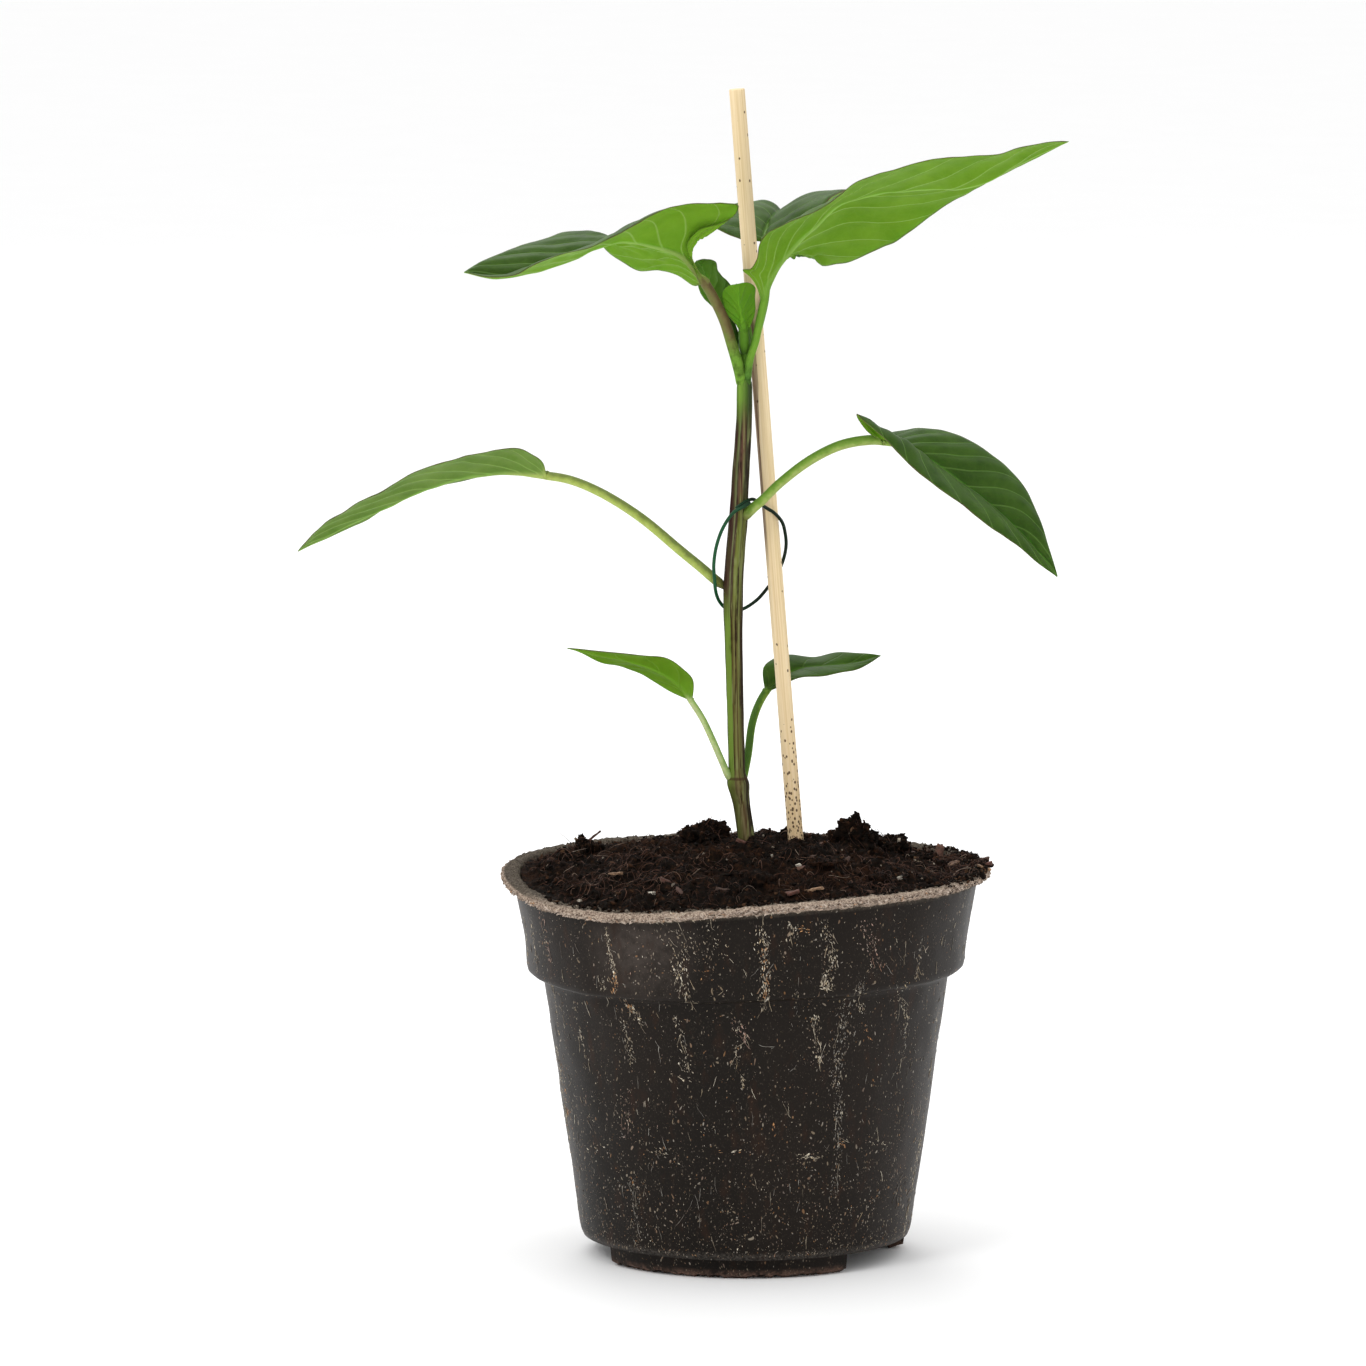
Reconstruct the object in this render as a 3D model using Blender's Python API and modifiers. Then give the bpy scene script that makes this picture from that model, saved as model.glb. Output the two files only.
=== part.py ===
"""Young pepper plant in a moulded fibre nursery pot, with a support stick and a wire clip.

Every length here is in millimetres, and MM turns it into metres where a mesh is made. The pot stands
on z = 0 with its axis on the Z axis, and -Y is the front. Each leaf is a thin skin between a rib line
and its two margins, grown from a round stalk that ends just short of the stem.
"""
import math

import bmesh
import bpy
import numpy as np
from mathutils import Matrix, Vector

MM = 0.001
GAP = 0.3
MERGE = 0.00001

# Pot
POT_SIDES = 64
POT_WALL = 1.4
MOULD_EDGE = 0.6
BASE_RADIUS = 38.9
PAD_RADIUS = 40.8
PAD_INNER_RADIUS = 36.6
PAD_ROUND = 1.2
BOSS_RADIUS = 12.0
FOOT_RADIUS = 42.1
FOOT_HEIGHT = 5.0
BODY_TOP_RADIUS = 51.8
STEP_HEIGHT = 73.9
COLLAR_LOW_RADIUS = 55.6
COLLAR_MIDDLE_RADIUS = 56.5
COLLAR_MIDDLE = 85.0
COLLAR_TOP_RADIUS = 57.4
LIP_RADIUS = 60.4
LIP_LOW = 97.1
LIP_HEIGHT = 99.0
LIP_OVAL = 1.6
WARP_START = 78.0
LIP_SAG = 5.2
LIP_SAG_ANGLE = math.radians(-132)
LIP_SAG_NARROWNESS = 8
STEP_SAG = 2.7
STEP_SAG_ANGLE = math.radians(-142)
STEP_SAG_NARROWNESS = 5
STEP_SAG_HEIGHTS = (50.0, 74.5, 87.0)
GAP_ANGLES = [math.radians(a) for a in (-24.75, 80.75, -173.75)]
GAP_HALF_ANGLE = math.radians(26.25)
GAP_SIDES = 6
DRAIN_RADIUS = 3.5
DRAIN_AT = 25.0

# Soil
SOIL_SIDES = 52
SOIL_EDGE = 96.4
SOIL_RISE = 9.0
SOIL_MOUND = 1.3
SOIL_RINGS = (0.05, 0.12, 0.2, 0.29, 0.38, 0.47, 0.56, 0.65, 0.74, 0.83, 0.92, 1)
HOLE_SIDES = 24

# Low waves of the soil: height, then turns along X and along Y in radians a millimetre, and phase
SOIL_WAVES = [(0.35, 0.31, 0.27, 1.6), (0.35, 0.31, -0.27, 0.8), (0.5, 0.62, -0.44, 0),
              (0.35, 0.7, 0.93, 3.6)]

# Lumps of soil that stand out of the surface: place on the surface, radius and height
CLOD_SPREAD = 0.42
CLODS = [((-10.5, 3), 6.0, 5.6), ((27.5, 9), 5.2, 10.5), ((37.5, 8), 6.0, 5.5), ((-42, 12), 4.5, 4.0),
         ((12, 14), 4.0, 2.2), ((-24, -14), 5.0, 1.8), ((20, -24), 5.5, 1.6), ((-4, -30), 4.5, 1.4)]

# Stem
STEM_LINE = [(1.4, 0, 78), (0.9, 0, 88), (-0.2, 0, 102), (-1.6, 0, 116), (-2, 0, 121), (-2.9, 0, 131.5),
             (-3, 0, 141.5), (-3.3, 0, 152), (-3.4, 0, 162), (-3.2, 0, 172), (-2.7, 0, 180),
             (-2.1, 0, 187.5), (-1.6, 0, 198), (-1.1, 0, 208), (-0.7, 0, 218), (-0.6, 0, 224.5)]
STEM_GIRTH = [(78, 2.6), (110, 2.5), (117, 2.6), (121, 3.1), (125, 2.4), (150, 2.3), (163, 2.3),
              (167.5, 2.5), (172, 2.2), (185, 2.1), (188.5, 2.4), (192, 2.05), (215, 1.95), (221, 2.2),
              (224.5, 2.1)]
STEM_RIDGES = 5
RIDGE_DEPTH = 0.06
STEM_SIDES = 20
STEM_STEP = 8.0

# Support stick
STICK_LOW = Vector((20.1, 8.9, 12.0))
STICK_TOP = Vector((-2.4, 6.0, 296.4))
STICK_RADIUS = 2.0
STICK_SIDES = 20
STICK_WEAR = 0.25
STICK_HOLE_DEPTH = 110.0

# Wire clip that holds the stem to the stick
WIRE_RADIUS = 0.45
WIRE_STEP = 1.7
WIRE_LINE = [(1, -4.5, 193), (-0.5, -4.8, 192), (-3, -4.8, 190.5), (-5.7, -4.3, 186.5), (-7.5, -3.4, 181.5),
             (-8.2, -2.8, 176.5), (-8, -2, 172.8), (-7.8, -1.4, 170.3), (-7.4, 0.2, 168.3), (-6.6, 2, 166.4),
             (-5.1, 3.3, 164.7), (-3, 4.4, 164), (-0.8, 5.8, 164.2), (2.8, 8.4, 166.2), (5.3, 10, 168.8),
             (7.6, 10.5, 172), (9.4, 10.2, 175.9), (10.2, 9, 180), (9.9, 7.4, 183.7), (9.1, 5.9, 186.5),
             (7.1, 4, 189), (5.1, 2.9, 190.4), (3.9, 1.6, 191.7), (3.4, 0.2, 192.9), (2.3, -1.6, 193.7),
             (0.9, -2.8, 193.5), (-0.8, -3.3, 192.8), (-2.6, -3.5, 191.4)]

# Leaf skins
BLADE_THICKNESS = 0.66
LEAF_COLUMNS = (-1, -0.7, -0.36, -0.08, 0, 0.08, 0.36, 0.7, 1)
TIP_HALF_WIDTH = 0.5
RIB_BULGE = 0.2
RIB_TAPER = 0.8
RING_CROWDING = 1.15
BELLY_FADE = 0.6
WAVE_FADE = 0.5
WAVE_TURNS = 3
WAVE_PHASES = {-1: 0.7, 1: 2.9}
HEADING_STEP = 0.8
SPLINE_SAMPLES = 24

LEAVES = {
    "seed_leaf_left": dict(
        stalk=[(-2, 0, 118), (-4, -1, 122), (-5.5, -2, 126.5), (-8.5, -4, 132.5), (-11, -5, 137.5),
               (-14, -7, 142.5)],
        rib=[(-14, -7, 142.5), (-16.5, -8, 146), (-22.5, -11, 150.5), (-30, -14, 153.5),
             (-38, -17, 155.5), (-45, -19, 157.5)],
        left=[(-13.5, -11, 148.5), (-16.5, -14, 152), (-20.5, -16, 154.5), (-25, -18, 155.5),
              (-32, -19, 156), (-40, -19, 157)],
        right=[(-20, -5, 145), (-23.5, -5, 147), (-27, -6, 149.5), (-30.5, -8, 151), (-35.5, -12, 152.5),
               (-41, -16, 155.5)],
        radius=(1.4, 1.0), belly=0.4, wave=0.2, steps=(7, 12)),
    "seed_leaf_right": dict(
        stalk=[(-2, 0, 118), (-0.8, 2.5, 121), (0.5, 6, 126.5), (1.6, 10, 134), (3.2, 13, 138.5),
               (5.3, 14, 142)],
        rib=[(5.3, 14, 142), (8.5, 15, 145), (14, 17, 147.5), (21.5, 19, 148), (28.5, 21, 148.5),
             (34.5, 23, 150)],
        left=[(4.5, 17, 147.5), (7, 20, 149.5), (11.5, 23, 150), (18, 25, 149.5), (24, 24.5, 150.5),
              (30.5, 23.5, 150.5)],
        right=[(11.5, 11, 145), (14.5, 10.5, 146), (21, 12, 146.5), (26.5, 15, 147), (32, 20, 148.5)],
        radius=(1.4, 1.0), belly=0.4, wave=0.2, steps=(7, 12)),
    "leaf_middle_left": dict(
        stalk=[(-3.5, 0, 166.5), (-5.5, 0, 169.5), (-7.5, 0.5, 172), (-11.5, 1, 175.5),
               (-16.5, 2, 179.5), (-27, 4, 188), (-37, 6, 194), (-44.5, 7, 197), (-50.5, 8, 198)],
        rib=[(-50.5, 8, 198), (-57.5, 9, 198.5), (-67.5, 10, 198), (-80, 11, 195), (-93, 12, 190),
             (-104.5, 13, 183.5), (-114, 14, 178)],
        left=[(-51, 5, 201), (-53.5, 1, 204.5), (-59, -1, 206), (-67, -3, 205), (-77.5, -3, 202.5),
              (-85, -2, 200), (-92.5, 1, 196), (-100.5, 5, 191), (-108, 10, 185)],
        right=[(-53.5, 17, 196.5), (-58.5, 20, 196), (-66, 24, 195.5), (-74, 25.5, 194), (-82, 25, 192),
               (-90, 23, 188.5), (-97.5, 20, 184.5), (-106, 16, 181)],
        radius=(1.3, 0.9), belly=1.0, wave=0.5, steps=(12, 16)),
    "leaf_middle_right": dict(
        stalk=[(-1.5, 0, 184), (1, -1.5, 188.5), (4, -3, 193), (8.5, -4, 197.5), (16, -6, 203.5),
               (23.5, -8, 207.5), (30, -9.5, 209), (34.5, -10, 209)],
        rib=[(34.5, -10, 209), (42.5, -12, 206), (50.5, -13, 200.5), (56.5, -15, 196), (64, -17, 189.5),
             (70.5, -19, 183.5), (78, -22, 176)],
        left=[(34, -5, 209.5), (36.5, -1, 210), (39.5, 0, 210.5), (44, 0, 211), (49.5, 0, 210.5),
              (55, -1, 208.5), (61, -3, 205.5), (66, -4.5, 201.5), (70, -7.5, 197), (73.5, -13, 190),
              (76, -18, 183)],
        right=[(30.5, -13, 211.5), (27.5, -14, 216), (29.5, -17, 214.5), (35, -22, 210.5),
               (41, -25, 205), (47, -27, 200), (54, -29, 195), (60, -29, 190), (66, -27, 185.5),
               (72.5, -24, 180.5)],
        radius=(1.4, 1.0), belly=1.2, wave=0.4, steps=(10, 16)),
    "leaf_top_left": dict(
        stalk=[(-0.5, 0, 219.5), (-2.3, -1, 224), (-3, -1.7, 228.5), (-4, -2.5, 233),
               (-5.5, -3.5, 238.5), (-8, -5, 244), (-10.5, -7, 248.5)],
        rib=[(-10.5, -7, 248.5), (-13.5, -8, 252.5), (-17.5, -9, 256), (-25, -11, 258.5),
             (-32, -14, 259.5), (-38, -17, 258), (-43.5, -19, 255.5), (-53.5, -23, 252.5),
             (-62.5, -27, 251.5), (-70.5, -30, 253.5)],
        left=[(-13.5, -9, 254), (-15, -10, 258.5), (-12.5, -11, 262), (-10.5, -11, 263),
              (-6.5, -11, 264), (-3, -10.5, 266), (-2, -11, 268.5), (-6, -14, 269.5), (-10, -17, 269.5),
              (-16, -22, 269.5), (-21.5, -26, 268.5), (-29, -30, 264.5), (-36.5, -33, 261),
              (-45.5, -35, 258.5), (-51.5, -36, 256.5), (-57.5, -35.5, 253.5), (-64, -33.5, 252.5)],
        right=[(-13, -4, 247.5), (-17.5, 0, 250), (-22, 2, 251), (-27, 3.5, 250.5), (-31, 2, 253),
               (-35, 0.5, 256), (-39, -1, 260), (-43, -2.5, 261), (-48, -6, 260.5), (-52.5, -9.5, 259.5),
               (-57, -13.5, 258.5), (-61, -18, 257.5), (-65.5, -23, 256)],
        radius=(1.35, 1.1), belly=0.8, wave=0.0, steps=(8, 20)),
    "leaf_top_right": dict(
        stalk=[(-0.5, 0, 220), (1, -1.6, 224.5), (1.5, -2.3, 229), (2.5, -3, 235), (3.5, -3.5, 239.5),
               (4.5, -4.5, 244)],
        rib=[(4.5, -4.5, 244), (5.5, -6, 248), (9, -8, 254), (16, -11, 262), (23.5, -14, 269),
             (33, -18, 272), (45.5, -23, 273.5), (57.5, -28, 275), (69, -34, 281.5), (79.5, -40, 287)],
        left=[(6, -4, 247.5), (8.5, -3, 252.5), (10, -1, 254.5), (13, 2, 254.5), (16, 4, 254),
              (19, 5, 252), (22.5, 5, 252), (25.5, 4, 252.5), (30, 2, 254.5), (34.5, 0, 257),
              (37.5, -2, 258.5), (44, -5, 263.5), (52.5, -11, 270), (60.5, -18, 275), (69.5, -28, 280.5)],
        right=[(2.5, -6, 247.5), (1, -7, 250), (-1, -9, 252), (1, -11, 252.5), (2.5, -13, 255),
               (3, -15, 258.5), (4.5, -18, 261.5), (9.5, -23, 265), (16, -28, 268), (22, -32, 272),
               (26.5, -35, 276), (32.5, -37, 278.5), (44.5, -39, 282), (52.5, -42, 283.5),
               (61, -43.5, 284), (66.5, -44, 285.5), (75, -42.5, 287)],
        radius=(1.35, 1.1), belly=1.0, wave=0.0, steps=(8, 20)),
    "leaf_top_back": dict(
        stalk=[(-0.5, 0, 219.8), (1, 2.4, 224.6), (1.8, 2.9, 229), (2.7, 3, 234), (3.9, 3.2, 239),
               (4.8, 4.8, 243), (5.2, 7.5, 247), (5.1, 12, 252), (4.5, 16, 257)],
        rib=[(4.5, 16, 257), (5.5, 26, 260), (8, 40, 262), (9.5, 55, 261), (11, 70, 257.5)],
        left=[(-0.5, 13, 257.5), (-6, 16, 259.5), (-10, 22, 261.5), (-10, 30, 263), (-6, 40, 263.5),
              (0, 50, 263), (6, 62, 260.5)],
        right=[(8, 12, 257.5), (13.5, 13, 258.5), (18.5, 18, 263.5), (22, 25, 267.5), (25.5, 33, 268.5),
               (25.5, 41, 267), (22, 52, 264), (16, 63, 260)],
        radius=(1.3, 0.9), belly=1.5, wave=0.0, steps=(9, 16)),
}

# Growing tip: a short axis with a bud and two young leaves
TIP_AXIS = [(-0.6, 0.6, 224.9), (-0.6, 0.6, 229), (-0.7, 0.5, 233)]
TIP_AXIS_RADII = (0.9, 0.7)
BUD_AT = (-0.8, 0.7, 234.5)
BUD_SIZE = (1.2, 1.1, 2.4)
TIP_SIDES = 12
TIP_RINGS = 5
YOUNG_LEAVES = {
    "young_leaf_front": dict(
        stalk=[(-0.6, 0.6, 229.5), (-0.5, -1, 233), (-0.5, -1.9, 234.7), (-0.5, -2.5, 236)],
        rib=[(-0.5, -2.5, 236), (-1, -3.5, 238.5), (-1.5, -4, 241), (-2, -4.5, 243.5), (-2, -4.5, 246.5),
             (-2.5, -4, 248)],
        left=[(1, -2.2, 238), (2.2, -1.3, 241), (2.2, -1, 244.5), (2.1, -1.4, 247), (0.5, -2.6, 248.2)],
        right=[(-2.5, -3, 237.5), (-5, -3, 241), (-6, -3, 244), (-6, -3, 246), (-4.5, -3.5, 247.5)],
        radius=(0.9, 0.8), belly=0.4, wave=0.0, steps=(3, 8)),
    "young_leaf_left": dict(
        stalk=[(-0.7, 0.6, 229.5), (-2.2, 1.9, 233.5), (-3.5, 3, 237), (-5, 3.5, 239.5)],
        rib=[(-5, 3.5, 239.5), (-6.5, 4.5, 242.5), (-8.5, 5.5, 245.5), (-10, 6, 249), (-11, 6, 251.5),
             (-12.5, 5.5, 253)],
        left=[(-3.5, 1.5, 242.5), (-3.5, 1, 246), (-5, 0.5, 248.5), (-7, 1.5, 250.5), (-8, 3, 253),
              (-10.5, 4.5, 253.5)],
        right=[(-7, 5.5, 239.5), (-9.5, 8, 242), (-12, 9, 245.5), (-13, 8.5, 249.5), (-13.5, 7, 251.5)],
        radius=(0.9, 0.7), belly=0.4, wave=0.2, steps=(3, 8)),
}

LOOKS = {
    "pot_fibre": ((0.035, 0.03, 0.026), 0.5),
    "soil": ((0.028, 0.017, 0.011), 0.95),
    "stem_bark": ((0.16, 0.19, 0.06), 0.5),
    "leaf": ((0.09, 0.21, 0.035), 0.45),
    "young_leaf": ((0.16, 0.36, 0.045), 0.4),
    "cane": ((0.74, 0.6, 0.37), 0.6),
    "wire_coat": ((0.02, 0.13, 0.05), 0.35),
}


def clear_scene():
    for thing in list(bpy.data.objects):
        bpy.data.objects.remove(thing, do_unlink=True)


def make_collection(name):
    group = bpy.data.collections.new(name)
    bpy.context.scene.collection.children.link(group)
    return group


def look(slot):
    material = bpy.data.materials.get(slot)
    if material is None:
        colour, roughness = LOOKS[slot]
        material = bpy.data.materials.new(slot)
        material.use_nodes = True
        shader = material.node_tree.nodes["Principled BSDF"]
        shader.inputs["Base Color"].default_value = (*colour, 1)
        shader.inputs["Roughness"].default_value = roughness
        shader.inputs["Metallic"].default_value = 0
    return material


def place(name, mesh, slot, group):
    """An object of the plant, with its own material and smooth sides."""
    thing = bpy.data.objects.new(name, mesh)
    group.objects.link(thing)
    mesh.materials.clear()
    mesh.materials.append(look(slot).copy())
    mesh.shade_smooth()
    mesh.set_sharp_from_angle(angle=math.radians(40))
    return thing


def place_cutter(name, mesh, group):
    thing = bpy.data.objects.new(name, mesh)
    group.objects.link(thing)
    thing.hide_render = True
    thing.display_type = "WIRE"
    return thing


def combine(thing, other, operation):
    """A Boolean with another object, which stays on the first one."""
    change = thing.modifiers.new(operation.lower() + "_" + other.name, "BOOLEAN")
    change.operation = operation
    change.object = other
    change.solver = "EXACT"


def settle(thing):
    """The object's mesh with its modifiers worked in, as a mesh of its own."""
    bpy.context.view_layer.update()
    graph = bpy.context.evaluated_depsgraph_get()
    mesh = bpy.data.meshes.new_from_object(thing.evaluated_get(graph))
    thing.modifiers.clear()
    thing.data = mesh
    return thing


def smooth_line(points):
    """A curve through the points: centripetal Catmull-Rom, finely sampled."""
    knots = np.array(points, float)
    knots = np.vstack([2 * knots[0] - knots[1], knots, 2 * knots[-1] - knots[-2]])
    line = []
    for a, b, c, d in zip(knots[:-3], knots[1:-2], knots[2:-1], knots[3:]):
        t1 = math.sqrt(np.linalg.norm(b - a))
        t2 = t1 + math.sqrt(np.linalg.norm(c - b))
        t3 = t2 + math.sqrt(np.linalg.norm(d - c))
        for t in np.linspace(t1, t2, SPLINE_SAMPLES, endpoint=False):
            ab = a + (b - a) * t / t1
            bc = b + (c - b) * (t - t1) / (t2 - t1)
            cd = c + (d - c) * (t - t2) / (t3 - t2)
            abc = ab + (bc - ab) * t / t2
            bcd = bc + (cd - bc) * (t - t1) / (t3 - t1)
            line.append(abc + (bcd - abc) * (t - t1) / (t2 - t1))
    line.append(knots[-2])
    return np.array(line)


def lengths_along(line):
    steps = np.linalg.norm(np.diff(line, axis=0), axis=1)
    return np.concatenate([[0], np.cumsum(steps)])


def points_at(line, distances):
    """The points of a line at these distances from its start."""
    travelled = lengths_along(line)
    return np.column_stack([np.interp(distances, travelled, line[:, k]) for k in range(3)])


def unit(vectors):
    return vectors / np.linalg.norm(vectors, axis=-1, keepdims=True)


def skin(name, rings, half=None):
    """A closed body through rings of points, all with the same count.

    The quads past the half way point are split the other way, so that both faces of a thin waved
    blade are split alike.
    """
    count = len(rings[0])
    half = half or count
    faces = []
    for i in range(len(rings) - 1):
        for j in range(count):
            a, b = i * count + j, i * count + (j + 1) % count
            c, d = a + count, b + count
            if j < half:
                faces += [(a, b, d), (a, d, c)]
            else:
                faces += [(a, b, c), (b, d, c)]
    mesh = bpy.data.meshes.new(name)
    mesh.from_pydata([tuple(p * MM) for p in np.vstack(rings)], [], faces)
    body = bmesh.new()
    body.from_mesh(mesh)
    bmesh.ops.holes_fill(body, edges=[e for e in body.edges if e.is_boundary])
    bmesh.ops.recalc_face_normals(body, faces=body.faces)
    body.to_mesh(mesh)
    body.free()
    return mesh


def warp(point):
    """The pot's upper part, pulled slightly oval and let down at the front left."""
    x, y, z = point
    share = min(max((z - WARP_START) / (LIP_HEIGHT - WARP_START), 0), 1)
    share = share * share * (3 - 2 * share)
    radius, angle = math.hypot(x, y), math.atan2(y, x)
    reach = radius / LIP_RADIUS
    wider = 1 + LIP_OVAL * math.cos(2 * angle) * share / LIP_RADIUS
    lip_side = ((1 + math.cos(angle - LIP_SAG_ANGLE)) / 2) ** LIP_SAG_NARROWNESS
    step_side = ((1 + math.cos(angle - STEP_SAG_ANGLE)) / 2) ** STEP_SAG_NARROWNESS
    step_share = float(np.interp(z, STEP_SAG_HEIGHTS, (0, 1, 0)))
    lower = LIP_SAG * share * reach ** 4 * lip_side + STEP_SAG * step_share * reach ** 4 * step_side
    return (x * wider, y * wider, z - lower)


def turned(name, profile, sides, group):
    """A profile of (radius, height) points turned about the Z axis, as a mesh."""
    mesh = bpy.data.meshes.new(name)
    edges = [(i, i + 1) for i in range(len(profile) - 1)]
    mesh.from_pydata([(r * MM, 0, z * MM) for r, z in profile], edges, [])
    thing = bpy.data.objects.new(name, mesh)
    group.objects.link(thing)
    screw = thing.modifiers.new("turn", "SCREW")
    screw.steps = sides
    screw.render_steps = sides
    screw.use_merge_vertices = True
    screw.merge_threshold = MERGE
    return settle(thing)


def round_bar(name, low, top, radius, sides):
    """A straight round bar between two points, as a mesh."""
    run = top - low
    bpy.ops.mesh.primitive_cylinder_add(vertices=sides, radius=radius * MM, depth=run.length * MM)
    thing = bpy.context.object
    mesh = thing.data
    bpy.data.objects.remove(thing, do_unlink=True)
    turn = Vector((0, 0, 1)).rotation_difference(run).to_matrix().to_4x4()
    mesh.transform(Matrix.Translation((low + top) / 2 * MM) @ turn)
    mesh.name = name
    return mesh


def make_pot(group, cutters):
    """A thin moulded pot: curved feet and a boss under its floor, a stepped collar and a rolled-out lip."""
    edge = MOULD_EDGE
    floor_top = FOOT_HEIGHT + POT_WALL
    inner_low = FOOT_RADIUS - POT_WALL
    inner_top = COLLAR_TOP_RADIUS - POT_WALL
    inside = [(0, floor_top), (inner_low - edge, floor_top), (inner_low, floor_top + edge),
              (BODY_TOP_RADIUS - POT_WALL, STEP_HEIGHT + edge),
              (COLLAR_LOW_RADIUS - POT_WALL, STEP_HEIGHT + POT_WALL),
              (COLLAR_MIDDLE_RADIUS - POT_WALL, COLLAR_MIDDLE), (inner_top, LIP_HEIGHT - 2 * edge)]
    lip = [(inner_top + edge, LIP_HEIGHT), (LIP_RADIUS - edge, LIP_HEIGHT), (LIP_RADIUS, LIP_HEIGHT - edge),
           (LIP_RADIUS, LIP_LOW + edge), (LIP_RADIUS - edge, LIP_LOW), (COLLAR_TOP_RADIUS, LIP_LOW - edge)]
    outside = [(COLLAR_MIDDLE_RADIUS, COLLAR_MIDDLE), (COLLAR_LOW_RADIUS, STEP_HEIGHT + edge),
               (COLLAR_LOW_RADIUS - edge, STEP_HEIGHT), (BODY_TOP_RADIUS, STEP_HEIGHT - edge),
               (FOOT_RADIUS, FOOT_HEIGHT + 2 * edge), (FOOT_RADIUS - edge, FOOT_HEIGHT)]
    under = [(PAD_RADIUS, FOOT_HEIGHT), (PAD_RADIUS - edge, PAD_ROUND), (BASE_RADIUS, 0),
             (PAD_INNER_RADIUS + edge, 0), (PAD_INNER_RADIUS, edge), (PAD_INNER_RADIUS, FOOT_HEIGHT),
             (BOSS_RADIUS, FOOT_HEIGHT), (BOSS_RADIUS, edge), (BOSS_RADIUS - edge, 0), (0, 0)]
    shell = turned("pot_shell", inside + lip + outside + under, POT_SIDES, cutters)
    for vertex in shell.data.vertices:
        vertex.co = Vector(warp(vertex.co / MM)) * MM
    pot = place("pot", shell.data, "pot_fibre", group)
    bpy.data.objects.remove(shell, do_unlink=True)
    for number, angle in enumerate(GAP_ANGLES):
        drain = round_bar("drain_" + str(number), Vector((DRAIN_AT, 0, FOOT_HEIGHT - POT_WALL)),
                          Vector((DRAIN_AT, 0, floor_top + POT_WALL)), DRAIN_RADIUS, HOLE_SIDES)
        drain.transform(Matrix.Rotation(angle, 4, "Z"))
        combine(pot, place_cutter("drain_" + str(number), drain, cutters), "DIFFERENCE")
        combine(pot, foot_gap("foot_gap_" + str(number), angle, cutters), "DIFFERENCE")
    return pot


def foot_gap(name, middle, group):
    """A flat sector that opens the ring of feet below the floor."""
    angles = middle + np.linspace(-1, 1, GAP_SIDES + 1) * GAP_HALF_ANGLE
    radii = np.repeat([PAD_INNER_RADIUS - POT_WALL, LIP_RADIUS], len(angles))
    turns = np.concatenate([angles[::-1], angles])
    low = np.column_stack([radii * np.cos(turns), radii * np.sin(turns), np.full(len(turns), -POT_WALL)])
    return place_cutter(name, skin(name, [low, low + (0, 0, FOOT_HEIGHT + POT_WALL)]), group)


def circle(radius, height, sides):
    angles = np.arange(sides) * 2 * np.pi / sides
    return np.column_stack([radius * np.cos(angles), radius * np.sin(angles), np.full(sides, height)])


def soil_height(x, y):
    """The surface of the soil: a mound at the stem, low waves, and lumps that stand out of it."""
    share = math.hypot(x, y) / (COLLAR_TOP_RADIUS - POT_WALL)
    height = SOIL_EDGE + SOIL_RISE * (1 - share ** 2) ** SOIL_MOUND
    for size, along_x, along_y, phase in SOIL_WAVES:
        height += (1 - share ** 6) * size * math.sin(along_x * x + along_y * y + phase)
    for (cx, cy), spread, rise in CLODS:
        height += rise * math.exp(-((x - cx) ** 2 + (y - cy) ** 2) / (CLOD_SPREAD * spread ** 2))
    return height


def make_soil(group, stem_hole, stick_hole):
    """The soil that fills the pot, with its uneven top and plain holes for the stem and the stick."""
    wall = POT_WALL + GAP
    floor_top = FOOT_HEIGHT + POT_WALL
    rings = []
    for share in SOIL_RINGS:
        ring = circle((COLLAR_TOP_RADIUS - wall) * share, 0, SOIL_SIDES)
        ring[:, 2] = [soil_height(x, y) for x, y, z in ring]
        rings.append(ring)
    rings.append(circle(COLLAR_MIDDLE_RADIUS - wall, COLLAR_MIDDLE, SOIL_SIDES))
    rings.append(circle(COLLAR_LOW_RADIUS - wall, STEP_HEIGHT + wall, SOIL_SIDES))
    rings.append(circle(BODY_TOP_RADIUS - wall, STEP_HEIGHT + MOULD_EDGE + GAP, SOIL_SIDES))
    rings.append(circle(FOOT_RADIUS - wall, floor_top + MOULD_EDGE + GAP, SOIL_SIDES))
    rings.append(circle(FOOT_RADIUS - wall - MOULD_EDGE, floor_top + GAP, SOIL_SIDES))
    rings = [np.array([warp(point) for point in ring]) for ring in rings]
    soil = place("potting_soil", skin("potting_soil", rings), "soil", group)
    combine(soil, stem_hole, "DIFFERENCE")
    combine(soil, stick_hole, "DIFFERENCE")
    return soil


def stem_rings(extra, ridges, sides, low, top):
    """Rings of the stem from a low to a top height, made thicker by an extra width."""
    line = smooth_line(STEM_LINE)
    heights = np.append(np.arange(low, top - STEM_STEP / 2, STEM_STEP), top)
    inner = [height for height, girth in STEM_GIRTH if low < height < top]
    heights = np.array(sorted(set(heights[abs(heights[:, None] - inner).min(axis=1) > 1]) | set(inner)))
    centres = np.column_stack([np.interp(heights, line[:, 2], line[:, k]) for k in (0, 1)] + [heights])
    girths = np.interp(heights, *np.array(STEM_GIRTH).T)
    angles = np.arange(sides) * 2 * np.pi / sides
    rings = []
    for centre, girth in zip(centres, girths):
        radii = girth * (1 + ridges * np.cos(STEM_RIDGES * angles)) + extra
        rings.append(centre + radii[:, None] * circle(1, 0, sides))
    return rings


def make_stem(group):
    """A ridged stem, swollen where its leaves leave it, set deep in the soil."""
    rings = stem_rings(0, RIDGE_DEPTH, STEM_SIDES, STEM_LINE[0][2], STEM_LINE[-1][2])
    return place("stem", skin("stem", rings), "stem_bark", group)


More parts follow.
